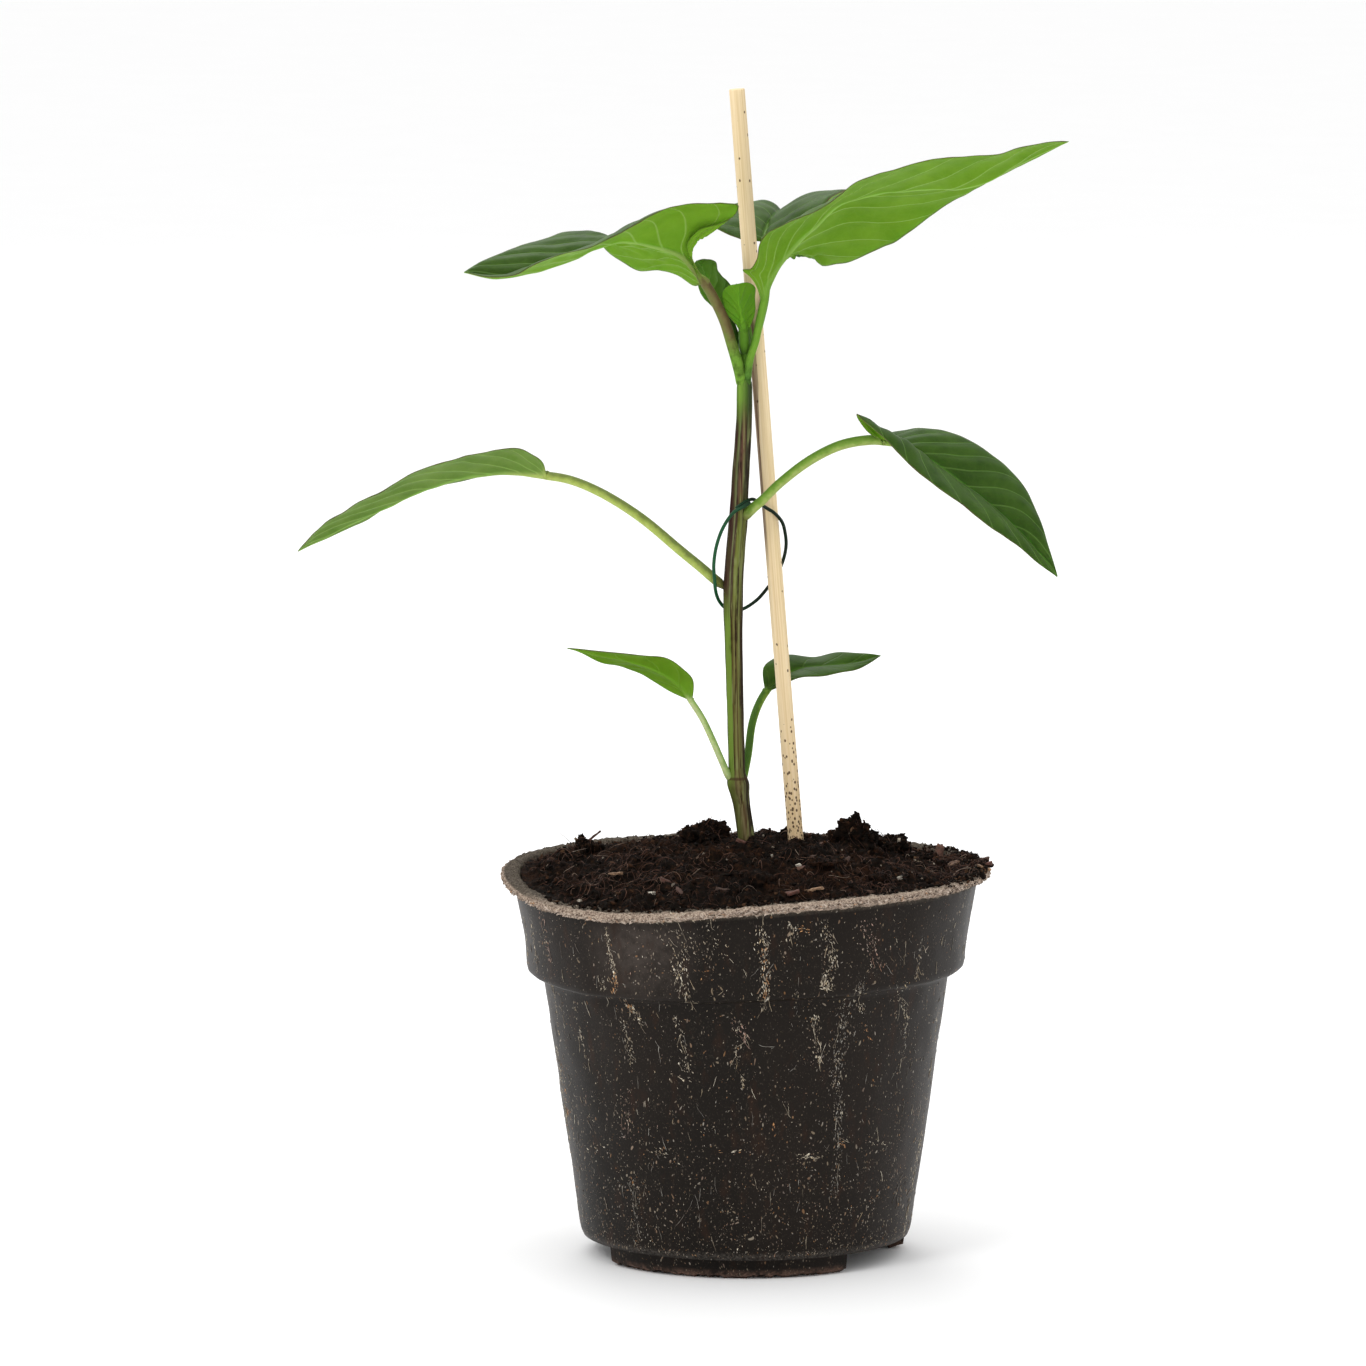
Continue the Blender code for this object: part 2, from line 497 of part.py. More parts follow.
def stalk_rings(line, distances, radii, sides):
    """Round rings along a line, from the right side over the top and back under it."""
    ahead = points_at(line, distances + HEADING_STEP)
    behind = points_at(line, np.maximum(distances - HEADING_STEP, 0))
    along = unit(ahead - behind)
    side = unit(np.cross(along, (0, 0, 1)))
    face = np.cross(side, along)
    centres = points_at(line, distances)
    angles = math.pi - (np.arange(sides) + 0.5) * math.pi / sides
    rings = []
    for centre, across, up, radius in zip(centres, side, face, radii):
        top = centre + radius * (np.outer(np.cos(angles), across) + np.outer(np.sin(angles), up))
        low = centre + radius * (np.outer(np.cos(angles), across) - np.outer(np.sin(angles), up))
        rings.append(np.vstack([top, low[::-1]]))
    return rings, centres, side, face


def leaf_rings(leaf):
    """Rings from the foot of a leaf's stalk to the tip of its blade."""
    stalk_steps, blade_steps = leaf["steps"]
    foot, neck = leaf["radius"]
    count = len(LEAF_COLUMNS)
    middle = count // 2
    line = smooth_line(leaf["stalk"] + leaf["rib"][1:])
    travelled = lengths_along(line)
    start, end = travelled[(len(leaf["stalk"]) - 1) * SPLINE_SAMPLES], travelled[-1]
    u = np.linspace(0, 1, blade_steps + 1)
    along_blade = start + (end - start) * u ** RING_CROWDING
    distances = np.concatenate([np.linspace(0, start, stalk_steps, endpoint=False), along_blade])
    radii = np.interp(distances, (0, start), (foot, neck))
    rings, centres, side, face = stalk_rings(line, distances, radii, count)
    rings = rings[:stalk_steps]
    centres, side, face = centres[stalk_steps:], side[stalk_steps:], face[stalk_steps:]
    margins = {}
    for name, sign in (("left", -1), ("right", 1)):
        first = centres[0] + sign * neck * side[0]
        last = centres[-1] + sign * TIP_HALF_WIDTH * side[-1]
        margin = smooth_line([first, *leaf[name], last])
        margins[sign] = points_at(margin, u * lengths_along(margin)[-1])
    grid = np.zeros((blade_steps + 1, count, 3))
    for j, v in enumerate(LEAF_COLUMNS):
        grid[:, j] = centres + (margins[1 if v > 0 else -1] - centres) * abs(v)
    normals = blade_normals(grid, face[0])
    for j, v in enumerate(LEAF_COLUMNS):
        belly = leaf["belly"] * 4 * abs(v) * (1 - abs(v)) * np.sin(np.pi * u) ** BELLY_FADE
        turns = 2 * np.pi * WAVE_TURNS * u + WAVE_PHASES[1 if v > 0 else -1]
        wave = leaf["wave"] * v * v * np.sin(turns) * np.sin(np.pi * u) ** WAVE_FADE
        grid[:, j] += normals[:, j] * (belly + wave)[:, None]
    normals = blade_normals(grid, face[0])
    rib = neck * (1 - u) ** RIB_TAPER + RIB_BULGE
    for i in range(blade_steps + 1):
        depth = np.full(count, BLADE_THICKNESS / 2)
        top = grid[i] + normals[i] * BLADE_THICKNESS / 2
        depth[middle] += rib[i]
        rings.append(np.vstack([top, (grid[i] - normals[i] * depth[:, None])[::-1]]))
    return rings


def blade_normals(grid, first):
    """Which way the upper face looks at each point of a blade."""
    normals = unit(np.cross(np.gradient(grid, axis=1), np.gradient(grid, axis=0)))
    normals[0] = first
    normals[-1] = normals[-2]
    return normals


def make_leaf(name, leaf, slot, group):
    return place(name, skin(name, leaf_rings(leaf), len(LEAF_COLUMNS)), slot, group)


def make_shoot_tip(group, cutters):
    """The growing tip: a short axis with a bud and two young leaves, fused in one body."""
    line = smooth_line(TIP_AXIS)
    distances = np.linspace(0, lengths_along(line)[-1], TIP_RINGS)
    radii = np.linspace(*TIP_AXIS_RADII, TIP_RINGS)
    ring = circle(1, 0, TIP_SIDES)
    rings = [centre + radius * ring for centre, radius in zip(points_at(line, distances), radii)]
    tip = place("shoot_tip", skin("shoot_tip", rings), "young_leaf", group)
    bud = bmesh.new()
    bmesh.ops.create_uvsphere(bud, u_segments=TIP_SIDES, v_segments=8, radius=1)
    bmesh.ops.transform(bud, matrix=Matrix.Diagonal((*[s * MM for s in BUD_SIZE], 1)), verts=bud.verts)
    bmesh.ops.translate(bud, vec=Vector(BUD_AT) * MM, verts=bud.verts)
    bud_mesh = bpy.data.meshes.new("bud")
    bud.to_mesh(bud_mesh)
    bud.free()
    combine(tip, place_cutter("bud", bud_mesh, cutters), "UNION")
    for name, leaf in YOUNG_LEAVES.items():
        mesh = skin(name, leaf_rings(leaf), len(LEAF_COLUMNS))
        combine(tip, place_cutter(name, mesh, cutters), "UNION")
    return tip


def make_stick(group):
    """A round bamboo stick, pushed down beside the stem and leaning across behind it."""
    bar = round_bar("bamboo_stick", STICK_LOW, STICK_TOP, STICK_RADIUS, STICK_SIDES)
    stick = place("bamboo_stick", bar, "cane", group)
    edge = stick.modifiers.new("worn_ends", "BEVEL")
    edge.width = STICK_WEAR * MM
    edge.segments = 1
    edge.limit_method = "ANGLE"
    edge.angle_limit = math.radians(60)
    return stick


def make_wire(group):
    """The wire clip: one open ring round the stem and the stick, its ends side by side."""
    line = smooth_line(WIRE_LINE)
    total = lengths_along(line)[-1]
    route = points_at(line, np.linspace(0, total, round(total / WIRE_STEP) + 1))
    curve = bpy.data.curves.new("wire_route", "CURVE")
    curve.dimensions = "3D"
    spline = curve.splines.new("POLY")
    spline.points.add(len(route) - 1)
    for point, place_at in zip(spline.points, route):
        point.co = (*(place_at * MM), 1)
    curve.bevel_depth = WIRE_RADIUS * MM
    curve.bevel_resolution = 2
    curve.use_fill_caps = True
    return curve_body("tie_ring", curve, "wire_coat", group)


def curve_body(name, curve, slot, group):
    """The closed mesh of a curve, with its caps welded on."""
    guide = bpy.data.objects.new(name + "_route", curve)
    group.objects.link(guide)
    bpy.context.view_layer.update()
    mesh = bpy.data.meshes.new_from_object(guide.evaluated_get(bpy.context.evaluated_depsgraph_get()))
    body = bmesh.new()
    body.from_mesh(mesh)
    bmesh.ops.remove_doubles(body, verts=body.verts, dist=MERGE)
    body.to_mesh(mesh)
    body.free()
    bpy.data.objects.remove(guide, do_unlink=True)
    return place(name, mesh, slot, group)


clear_scene()
parts = make_collection("potted_pepper_plant")
cutters = make_collection("cutters")

low, top = STEM_LINE[0][2], STEM_LINE[-1][2]
clear_of_stem = GAP + RIDGE_DEPTH * max(girth for height, girth in STEM_GIRTH)
room = skin("stem_room", stem_rings(clear_of_stem, 0, STEM_SIDES, low - GAP, top + GAP))
stem_room = place_cutter("stem_room", room, cutters)
run = (STICK_TOP - STICK_LOW).normalized()
bore_low, bore_top = STICK_LOW - run * GAP, STICK_LOW + run * STICK_HOLE_DEPTH
bore = round_bar("stick_room", bore_low, bore_top, STICK_RADIUS + GAP, HOLE_SIDES)
stick_room = place_cutter("stick_room", bore, cutters)

make_pot(parts, cutters)
make_soil(parts, stem_room, stick_room)
make_stem(parts)
make_stick(parts)
make_wire(parts)
for name, leaf in LEAVES.items():
    combine(make_leaf(name, leaf, "leaf", parts), stem_room, "DIFFERENCE")
make_shoot_tip(parts, cutters)
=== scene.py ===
"""A young pepper plant in a moulded fibre nursery pot, tied to a bamboo stick with a wire clip.

Lengths are in millimetres and MM turns them into Blender's metres. The pot stands on z = 0 with its
axis on the Z axis, and -Y is the front.
"""
import math

import bpy
import numpy as np
from mathutils import Matrix, Vector, noise
from mathutils.bvhtree import BVHTree


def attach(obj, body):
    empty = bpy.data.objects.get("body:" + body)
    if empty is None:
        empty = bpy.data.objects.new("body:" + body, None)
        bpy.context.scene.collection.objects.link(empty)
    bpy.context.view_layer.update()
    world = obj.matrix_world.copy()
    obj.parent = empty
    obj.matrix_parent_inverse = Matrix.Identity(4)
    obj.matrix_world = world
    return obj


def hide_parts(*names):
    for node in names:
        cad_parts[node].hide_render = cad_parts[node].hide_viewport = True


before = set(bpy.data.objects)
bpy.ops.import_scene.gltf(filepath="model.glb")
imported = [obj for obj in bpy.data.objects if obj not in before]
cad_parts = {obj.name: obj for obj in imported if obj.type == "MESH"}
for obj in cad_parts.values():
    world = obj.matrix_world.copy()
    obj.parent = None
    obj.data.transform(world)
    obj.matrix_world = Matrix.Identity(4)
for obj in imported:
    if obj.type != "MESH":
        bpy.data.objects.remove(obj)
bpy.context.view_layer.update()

# Camera, light and floor
# A long lens looks slightly down on the plant from the front, as over a shop's packing table.
# The floor is one wide pale sheet, lit by a white room and by large soft lamps.
MM = 0.001
CAMERA_PLACE = (-15.98, -2600, 500)
CAMERA_PITCH = math.radians(90 - 7.753)
CAMERA_LENS = 272.687
LAMPS = {
    "key": ((-1000, -1200, 1300), 700, 10.0),
    "right": ((1500, -500, 900), 800, 1.0),
    "back": ((-200, 1300, 1500), 900, 9.0),
    "top": ((100, 200, 1700), 900, 3.0),
}
LAMP_AIM = Vector((0, 0, 150))
ROOM_LIGHT = 1.04

bpy.ops.object.camera_add(location=Vector(CAMERA_PLACE) * MM, rotation=(CAMERA_PITCH, 0, 0))
camera = bpy.context.object
camera.data.lens = CAMERA_LENS
camera.data.sensor_width = 36
camera.data.clip_end = 100
bpy.context.scene.camera = camera
bpy.context.scene.view_settings.view_transform = "Standard"

for name, (place, size, power) in LAMPS.items():
    turn = (Vector(place) - LAMP_AIM).to_track_quat("Z", "Y").to_euler()
    bpy.ops.object.light_add(type="AREA", location=Vector(place) * MM, rotation=turn)
    lamp = bpy.context.object
    lamp.name = "lamp_" + name
    lamp.data.shape = "DISK"
    lamp.data.size = size * MM
    lamp.data.energy = power

room = bpy.data.worlds.new("room")
room.use_nodes = True
room.node_tree.nodes["Background"].inputs["Color"].default_value = (1, 1, 1, 1)
room.node_tree.nodes["Background"].inputs["Strength"].default_value = ROOM_LIGHT
bpy.context.scene.world = room


def node(tree, kind, *values, settings=(), **named):
    """A shader node with its settings made. Values go to its sockets in order, or by their names."""
    made = tree.nodes.new("ShaderNode" + kind)
    for name, value in dict(settings).items():
        setattr(made, name, value)
    sockets = list(zip(made.inputs, values))
    sockets += [(made.inputs[name.replace("_", " ")], value) for name, value in named.items()]
    for socket, value in sockets:
        if isinstance(value, bpy.types.NodeSocket):
            tree.links.new(value, socket)
        elif value is not None:
            socket.default_value = value
    return made.outputs[0]


def sums(tree, operation, *values, clamp=False):
    return node(tree, "Math", *values, settings={"operation": operation, "use_clamp": clamp})


def ramp(tree, value, *stops):
    """A colour ramp: each stop is a place and a colour or a grey."""
    made = node(tree, "ValToRGB", value).node
    points = made.color_ramp.elements
    while len(points) < len(stops):
        points.new(0.5)
    for point, (place, colour) in zip(points, stops):
        point.position = place
        point.color = (*colour, 1) if isinstance(colour, tuple) else (colour, colour, colour, 1)
    return made.outputs["Color"]


def mixed(tree, share, first, second):
    """One colour laid over another where the share is 1."""
    made = node(tree, "Mix", share, settings={"data_type": "RGBA"}).node
    for socket, value in ((made.inputs[6], first), (made.inputs[7], second)):
        if isinstance(value, bpy.types.NodeSocket):
            tree.links.new(value, socket)
        else:
            socket.default_value = (*value, 1)
    return made.outputs[2]


def grain(tree, place, size, detail=2.0, roughness=0.5, stretch=(1, 1, 1)):
    """Cloudy noise from 0 to 1, with patches of about this size in millimetres."""
    spot = node(tree, "Mapping", place, Scale=stretch)
    return node(tree, "TexNoise", spot, Scale=1 / (size * MM), Detail=detail, Roughness=roughness)


def surface(name, roughness=0.5):
    """A new material with its shader, and the place of each point in the piece."""
    made = bpy.data.materials.new(name)
    made.use_nodes = True
    tree = made.node_tree
    shader = tree.nodes["Principled BSDF"]
    shader.inputs["Roughness"].default_value = roughness
    place = node(tree, "TexCoord").node.outputs["Object"]
    return made, tree, shader, place


def join(tree, shader, **sockets):
    for name, value in sockets.items():
        tree.links.new(value, shader.inputs[name.replace("_", " ")])


def bumps(tree, height, depth, under=None):
    """A bumpy normal: the height, from 0 to 1, stands this many millimetres proud."""
    return node(tree, "Bump", Strength=1.0, Distance=depth * MM, Height=height, Normal=under)


bpy.ops.object.select_all(action="DESELECT")
bpy.ops.mesh.primitive_plane_add(size=60, location=(0, 0, 0))
floor = bpy.context.object
floor.name = "floor"
card, tree, shader, place = surface("pale_card", 0.9)
tone = ramp(tree, grain(tree, place, 40), (0.3, (0.933, 0.933, 0.933)), (0.7, (0.94, 0.94, 0.94)))
join(tree, shader, Base_Color=tone)
floor.data.materials.append(card)

# Pot
# A thin nursery pot pressed from dark plant fibre and binder, full of pale bits of husk. It stands
# on three curved feet and a boss, widens to a stepped collar, and ends in a rough, rolled-out lip
# that has sunk a little at the front left.
POT_SIDES = 456
POT_WALL = 1.4
MOULD_EDGE = 0.6
BASE_RADIUS = 38.9
PAD_RADIUS = 40.8
PAD_INNER_RADIUS = 36.6
BOSS_RADIUS = 12.0
FOOT_RADIUS = 42.1
FOOT_HEIGHT = 5.0
BODY_TOP_RADIUS = 51.8
STEP_HEIGHT = 73.9
COLLAR_LOW_RADIUS = 55.6
COLLAR_MIDDLE_RADIUS = 56.5
COLLAR_MIDDLE = 85.0
COLLAR_TOP_RADIUS = 57.4
LIP_RADIUS = 60.4
LIP_LOW = 97.1
LIP_HEIGHT = 99.0
LIP_OVAL = 1.6
WARP_START = 78.0
LIP_SAG = 5.2
LIP_SAG_ANGLE = math.radians(-132)
LIP_SAG_NARROWNESS = 8
STEP_SAG = 2.7
STEP_SAG_ANGLE = math.radians(-142)
STEP_SAG_NARROWNESS = 5
STEP_SAG_HEIGHTS = (50.0, 74.5, 87.0)
GAP_ANGLES = [math.radians(a) for a in (-24.75, 80.75, -173.75)]
GAP_HALF_ANGLE = math.radians(26.25)
DRAIN_RADIUS = 3.5
DRAIN_AT = 25.0
PROFILE_STEP = 1.1
CRACK_ANGLE = 112.5
CRACK_HALF_ANGLE = 0.9
WELD = 0.000002


def warp(points):
    """The pot's upper part, pulled slightly oval and let down at the front left."""
    x, y, z = points.T
    share = np.clip((z - WARP_START) / (LIP_HEIGHT - WARP_START), 0, 1)
    share = share * share * (3 - 2 * share)
    angle = np.arctan2(y, x)
    reach = np.hypot(x, y) / LIP_RADIUS
    wider = 1 + LIP_OVAL * np.cos(2 * angle) * share / LIP_RADIUS
    lip_side = ((1 + np.cos(angle - LIP_SAG_ANGLE)) / 2) ** LIP_SAG_NARROWNESS
    step_side = ((1 + np.cos(angle - STEP_SAG_ANGLE)) / 2) ** STEP_SAG_NARROWNESS
    step_share = np.interp(z, STEP_SAG_HEIGHTS, (0, 1, 0))
    lower = (LIP_SAG * share * lip_side + STEP_SAG * step_share * step_side) * reach ** 4
    return np.column_stack([x * wider, y * wider, z - lower])


def spots(thing):
    """The places of a piece's points, in millimetres."""
    flat = np.empty(len(thing.data.vertices) * 3)
    thing.data.vertices.foreach_get("co", flat)
    return flat.reshape(-1, 3) / MM


def move_to(thing, points):
    thing.data.vertices.foreach_set("co", (points * MM).ravel())
    thing.data.update()


def mark(thing, name, values):
    """A value for each point of a piece, which its material reads."""
    attribute = thing.data.attributes.new(name, "FLOAT", "POINT")
    attribute.data.foreach_set("value", np.ascontiguousarray(values, np.float32).ravel())


def pick(thing, keep, mode="VERT"):
    """Edit mode with only the points, or faces, selected for which keep is true."""
    bpy.ops.object.mode_set(mode="EDIT")
    bpy.ops.mesh.select_mode(type=mode)
    bpy.ops.mesh.select_all(action="DESELECT")
    bpy.ops.object.mode_set(mode="OBJECT")
    members = thing.data.vertices if mode == "VERT" else thing.data.polygons
    members.foreach_set("select", np.asarray(keep, bool))
    bpy.ops.object.mode_set(mode="EDIT")


def centres(thing):
    """The middles of a piece's faces, in millimetres."""
    flat = np.empty(len(thing.data.polygons) * 3)
    thing.data.polygons.foreach_get("center", flat)
    return flat.reshape(-1, 3) / MM


def densified(profile, step):
    """A profile with points about a step apart along it, its corners slightly rounded."""
    corners = np.array(profile, float)
    line = [corners[0]]
    for a, b in zip(corners[:-1], corners[1:]):
        count = max(1, round(np.linalg.norm(b - a) / step))
        line += [a + (b - a) * k / count for k in range(1, count + 1)]
    line = np.array(line)
    inner = line[1:-1]
    line[1:-1] = (line[:-2] + 2 * inner + line[2:]) / 4
    return line


def turn_profile(name, profile, sides):
    """A body turned about the Z axis: a point is drawn out along the profile and spun round."""
    bpy.ops.object.select_all(action="DESELECT")
    bpy.ops.mesh.primitive_plane_add(size=MM)
    body = bpy.context.object
    body.name = body.data.name = name
    bpy.ops.object.mode_set(mode="EDIT")
    bpy.ops.mesh.merge(type="CENTER")
    bpy.ops.transform.translate(value=(profile[0][0] * MM, 0, profile[0][1] * MM))
    for (r0, z0), (r1, z1) in zip(profile[:-1], profile[1:]):
        step = ((r1 - r0) * MM, 0, (z1 - z0) * MM)
        bpy.ops.mesh.extrude_region_move(TRANSFORM_OT_translate={"value": step})
    bpy.ops.mesh.select_all(action="SELECT")
    bpy.ops.mesh.spin(steps=sides, angle=2 * math.pi, center=(0, 0, 0), axis=(0, 0, 1))
    bpy.ops.mesh.select_all(action="SELECT")
    bpy.ops.mesh.remove_doubles(threshold=WELD)
    bpy.ops.mesh.normals_make_consistent(inside=False)
    bpy.ops.object.mode_set(mode="OBJECT")
    return body


def finish(piece, material, slot, *nodes):
    """The last steps of a piece: smooth sides, its material, and its place in the frame."""
    bpy.ops.object.select_all(action="DESELECT")
    piece.select_set(True)
    bpy.context.view_layer.objects.active = piece
    bpy.ops.object.shade_smooth()
    piece.data.materials.clear()
    piece.data.materials.append(material)
    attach(piece, "root")
    if nodes:
        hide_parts(*nodes)


edge = MOULD_EDGE
floor_top = FOOT_HEIGHT + POT_WALL
inner_low = FOOT_RADIUS - POT_WALL
inner_top = COLLAR_TOP_RADIUS - POT_WALL
outside = [(FOOT_RADIUS - edge, FOOT_HEIGHT), (FOOT_RADIUS, FOOT_HEIGHT + 2 * edge),
           (BODY_TOP_RADIUS, STEP_HEIGHT - edge), (COLLAR_LOW_RADIUS - edge, STEP_HEIGHT),
           (COLLAR_LOW_RADIUS, STEP_HEIGHT + edge), (COLLAR_MIDDLE_RADIUS, COLLAR_MIDDLE),
           (COLLAR_TOP_RADIUS, LIP_LOW - edge)]
lip = [(LIP_RADIUS - edge, LIP_LOW), (LIP_RADIUS, LIP_LOW + edge), (LIP_RADIUS, LIP_HEIGHT - edge),
       (LIP_RADIUS - edge, LIP_HEIGHT), (inner_top + edge, LIP_HEIGHT), (inner_top, LIP_HEIGHT - 2 * edge)]
inside = [(COLLAR_MIDDLE_RADIUS - POT_WALL, COLLAR_MIDDLE), (COLLAR_LOW_RADIUS - POT_WALL, STEP_HEIGHT + POT_WALL),
          (BODY_TOP_RADIUS - POT_WALL, STEP_HEIGHT + edge), (inner_low, floor_top + edge),
          (inner_low - edge, floor_top)]
profile = [(0, FOOT_HEIGHT), (BOSS_RADIUS, FOOT_HEIGHT), (PAD_INNER_RADIUS, FOOT_HEIGHT),
           (PAD_RADIUS, FOOT_HEIGHT)]
profile += [tuple(p) for p in densified(outside, PROFILE_STEP)]
profile += [tuple(p) for p in densified([outside[-1]] + lip, 0.5)[1:]]
profile += inside + [(0, floor_top)]
pot = turn_profile("pot_body", profile, POT_SIDES)

# the feet and the boss are pulled down out of the underside
for inner, outer in ((PAD_INNER_RADIUS, PAD_RADIUS), (0, BOSS_RADIUS)):
    middle = centres(pot)
    radius = np.hypot(middle[:, 0], middle[:, 1])
    angle = np.arctan2(middle[:, 1], middle[:, 0])
    chosen = (abs(middle[:, 2] - FOOT_HEIGHT) < 0.01) & (radius > inner) & (radius < outer)
    for at in GAP_ANGLES if inner else ():
        chosen &= abs((angle - at + math.pi) % (2 * math.pi) - math.pi) > GAP_HALF_ANGLE
    pick(pot, chosen, "FACE")
    bpy.ops.mesh.extrude_region_move(TRANSFORM_OT_translate={"value": (0, 0, -3.8 * MM)})
    bpy.ops.mesh.extrude_region_move(TRANSFORM_OT_translate={"value": (0, 0, -1.2 * MM)})
    bpy.ops.object.mode_set(mode="OBJECT")
points = spots(pot)
reach = np.hypot(points[:, 0], points[:, 1])
outer = reach > PAD_RADIUS - 0.1
for low, pull in ((1.3, 0.5), (0.1, BASE_RADIUS - PAD_RADIUS)):
    ring = outer & (points[:, 2] < low)
    points[ring, :2] *= (PAD_RADIUS - abs(pull)) / reach[ring, None]
on_lip = np.clip((points[:, 2] - LIP_LOW + 1.6) / 1.6, 0, 1)
mark(pot, "lip", on_lip * (reach > inner_top - 1))
facing = np.clip(-points[:, 1] / reach.clip(1) * 2.5 - 0.8, 0, 1)
mark(pot, "rim", on_lip * np.maximum(reach > LIP_RADIUS - 0.35, facing * np.clip((reach - 58.1) / 0.8, 0, 1)))
worn = 0.25 * ((abs(points[:, 2] - STEP_HEIGHT) < 0.5) & (reach > COLLAR_LOW_RADIUS - 1.2))
worn += (points[:, 2] < FOOT_HEIGHT + 1.3) & (points[:, 2] > FOOT_HEIGHT - 0.1) & (reach > FOOT_RADIUS - 0.8)
mark(pot, "worn", worn)
turned = np.degrees(np.arctan2(points[:, 1], points[:, 0]))
points[:, 2] -= 1.7 * on_lip * (abs(turned - CRACK_ANGLE) < CRACK_HALF_ANGLE) * (reach > inner_top - 1)
move_to(pot, warp(points))

# drain holes in the floor
for number, at in enumerate(GAP_ANGLES):
    bpy.ops.object.select_all(action="DESELECT")
    place = (DRAIN_AT * math.cos(at) * MM, DRAIN_AT * math.sin(at) * MM, (FOOT_HEIGHT + 0.7) * MM)
    bpy.ops.mesh.primitive_cylinder_add(vertices=48, radius=DRAIN_RADIUS * MM, depth=6 * MM, location=place)
    drill = bpy.context.object
    hole = pot.modifiers.new("drain", "BOOLEAN")
    hole.object = drill
    hole.solver = "EXACT"
    bpy.context.view_layer.objects.active = pot
    bpy.ops.object.modifier_apply(modifier=hole.name)
    bpy.data.objects.remove(drill, do_unlink=True)

# rough fibre stands out of the lip, and the walls are never quite even
points = spots(pot)
normals = np.empty(len(pot.data.vertices) * 3)
pot.data.vertices.foreach_get("normal", normals)
normals = normals.reshape(-1, 3)
lip_share = np.empty(len(points))
pot.data.attributes["lip"].data.foreach_get("value", lip_share)
push = np.array([noise.fractal(Vector(p) / 14, 1.0, 2.0, 2) * 0.25 for p in points])
fine = np.array([noise.fractal(Vector(p) / 1.3, 1.0, 2.0, 3) if share > 0 else 0
                 for p, share in zip(points, lip_share)])
push *= (points[:, 2] > 8)
push += fine * 0.62 * lip_share
ragged = np.array([noise.fractal(Vector(p) / 2.6, 1.0, 2.0, 3) for p in points])
under_edge = (points[:, 2] < 0.6) & (np.hypot(points[:, 0], points[:, 1]) > BASE_RADIUS - 1)
points[:, 2] += under_edge * np.clip(ragged + 0.1, 0, 1) * 1.5
move_to(pot, points + normals * push[:, None])

fibre, tree, shader, place = surface("moulded_fibre", 0.42)


def flecks(size, share, stretch, blur=0.5):
    """Bits of husk: one oval in some of the cells of a stretched cell pattern, with a random tint."""
    wander = node(tree, "TexNoise", place, Scale=160.0, Detail=1.0).node.outputs["Color"]
    shift = node(tree, "VectorMath", wander, (0.006, 0.006, 0.006), settings={"operation": "MULTIPLY"})
    bent = node(tree, "VectorMath", place, shift, settings={"operation": "ADD"})
    spot = node(tree, "Mapping", bent, Scale=stretch)
    cells = node(tree, "TexVoronoi", spot, Scale=1 / (size * MM)).node
    dice = node(tree, "SeparateColor", cells.outputs["Color"]).node
    chosen = sums(tree, "LESS_THAN", dice.outputs[0], share)
    oval = sums(tree, "MULTIPLY", sums(tree, "SUBTRACT", 0.3, cells.outputs["Distance"]), 1 / 0.06, clamp=True)
    return sums(tree, "MULTIPLY", chosen, oval), dice.outputs[1]


clouds = grain(tree, place, 30, stretch=(1, 1, 0.35))
base = ramp(tree, clouds, (0.3, (0.0065, 0.0050, 0.0038)), (0.7, (0.0125, 0.0088, 0.0066)))
streaks = ramp(tree, grain(tree, place, 7, stretch=(1, 1, 0.12)), (0.52, 0.0), (0.68, 1.0))
# Painted sheen: a soft pale grey-brown patch on the collar at the front left, painted into the fibre's colour.
away = node(tree, "VectorMath", place, (-0.027, -0.049, 0.087), settings={"operation": "DISTANCE"}).node.outputs["Value"]
painted_sheen = sums(tree, "MULTIPLY", node(tree, "MapRange", away, 0.004, 0.018, 0.75, 0.0),
            ramp(tree, grain(tree, place, 2.5, 4, 0.6), (0.35, 0.4), (0.6, 1.0)))
base = mixed(tree, painted_sheen, base, (0.052, 0.041, 0.035))
low = node(tree, "MapRange", node(tree, "SeparateXYZ", place).node.outputs["Z"], 0.045, 0.012, 0.0, 1.0)
density = sums(tree, "MULTIPLY_ADD", streaks, 0.18, 0.05)
small, small_tint = flecks(0.8, sums(tree, "MULTIPLY_ADD", low, 0.09, density), (1, 1, 0.42))
dust, dust_tint = flecks(0.5, sums(tree, "MULTIPLY_ADD", low, 0.18, density), (1, 1, 0.6))
husk = ((0.0, (0.55, 0.47, 0.36)), (0.35, (0.36, 0.26, 0.16)), (0.6, (0.62, 0.56, 0.48)),
        (0.8, (0.42, 0.2, 0.07)), (1.0, (0.3, 0.25, 0.22)))
look = mixed(tree, sums(tree, "MULTIPLY", dust, 0.35), base, ramp(tree, dust_tint, *husk))
look = mixed(tree, sums(tree, "MULTIPLY", small, 0.38), look, ramp(tree, small_tint, *husk))
fine = ramp(tree, grain(tree, place, 0.38, 4, 0.7, stretch=(1, 1, 0.6)), (0.585, 0.0), (0.68, 0.35))
fine = sums(tree, "MULTIPLY", fine, ramp(tree, grain(tree, place, 6, 3, stretch=(1, 1, 0.4)), (0.35, 0.35), (0.62, 1.0)))
look = mixed(tree, fine, look, (0.16, 0.13, 0.10))
rusty = ramp(tree, grain(tree, place, 4, 3, 0.6, stretch=(1, 1, 0.4)), (0.56, 0.0), (0.7, 0.5))
look = mixed(tree, rusty, look, (0.024, 0.011, 0.006))
lip_part, rim_part, worn_part = (node(tree, "Attribute", settings={"attribute_name": word}).node.outputs["Fac"]
                                 for word in ("lip", "rim", "worn"))
rough = grain(tree, place, 0.5, 5, 0.7)
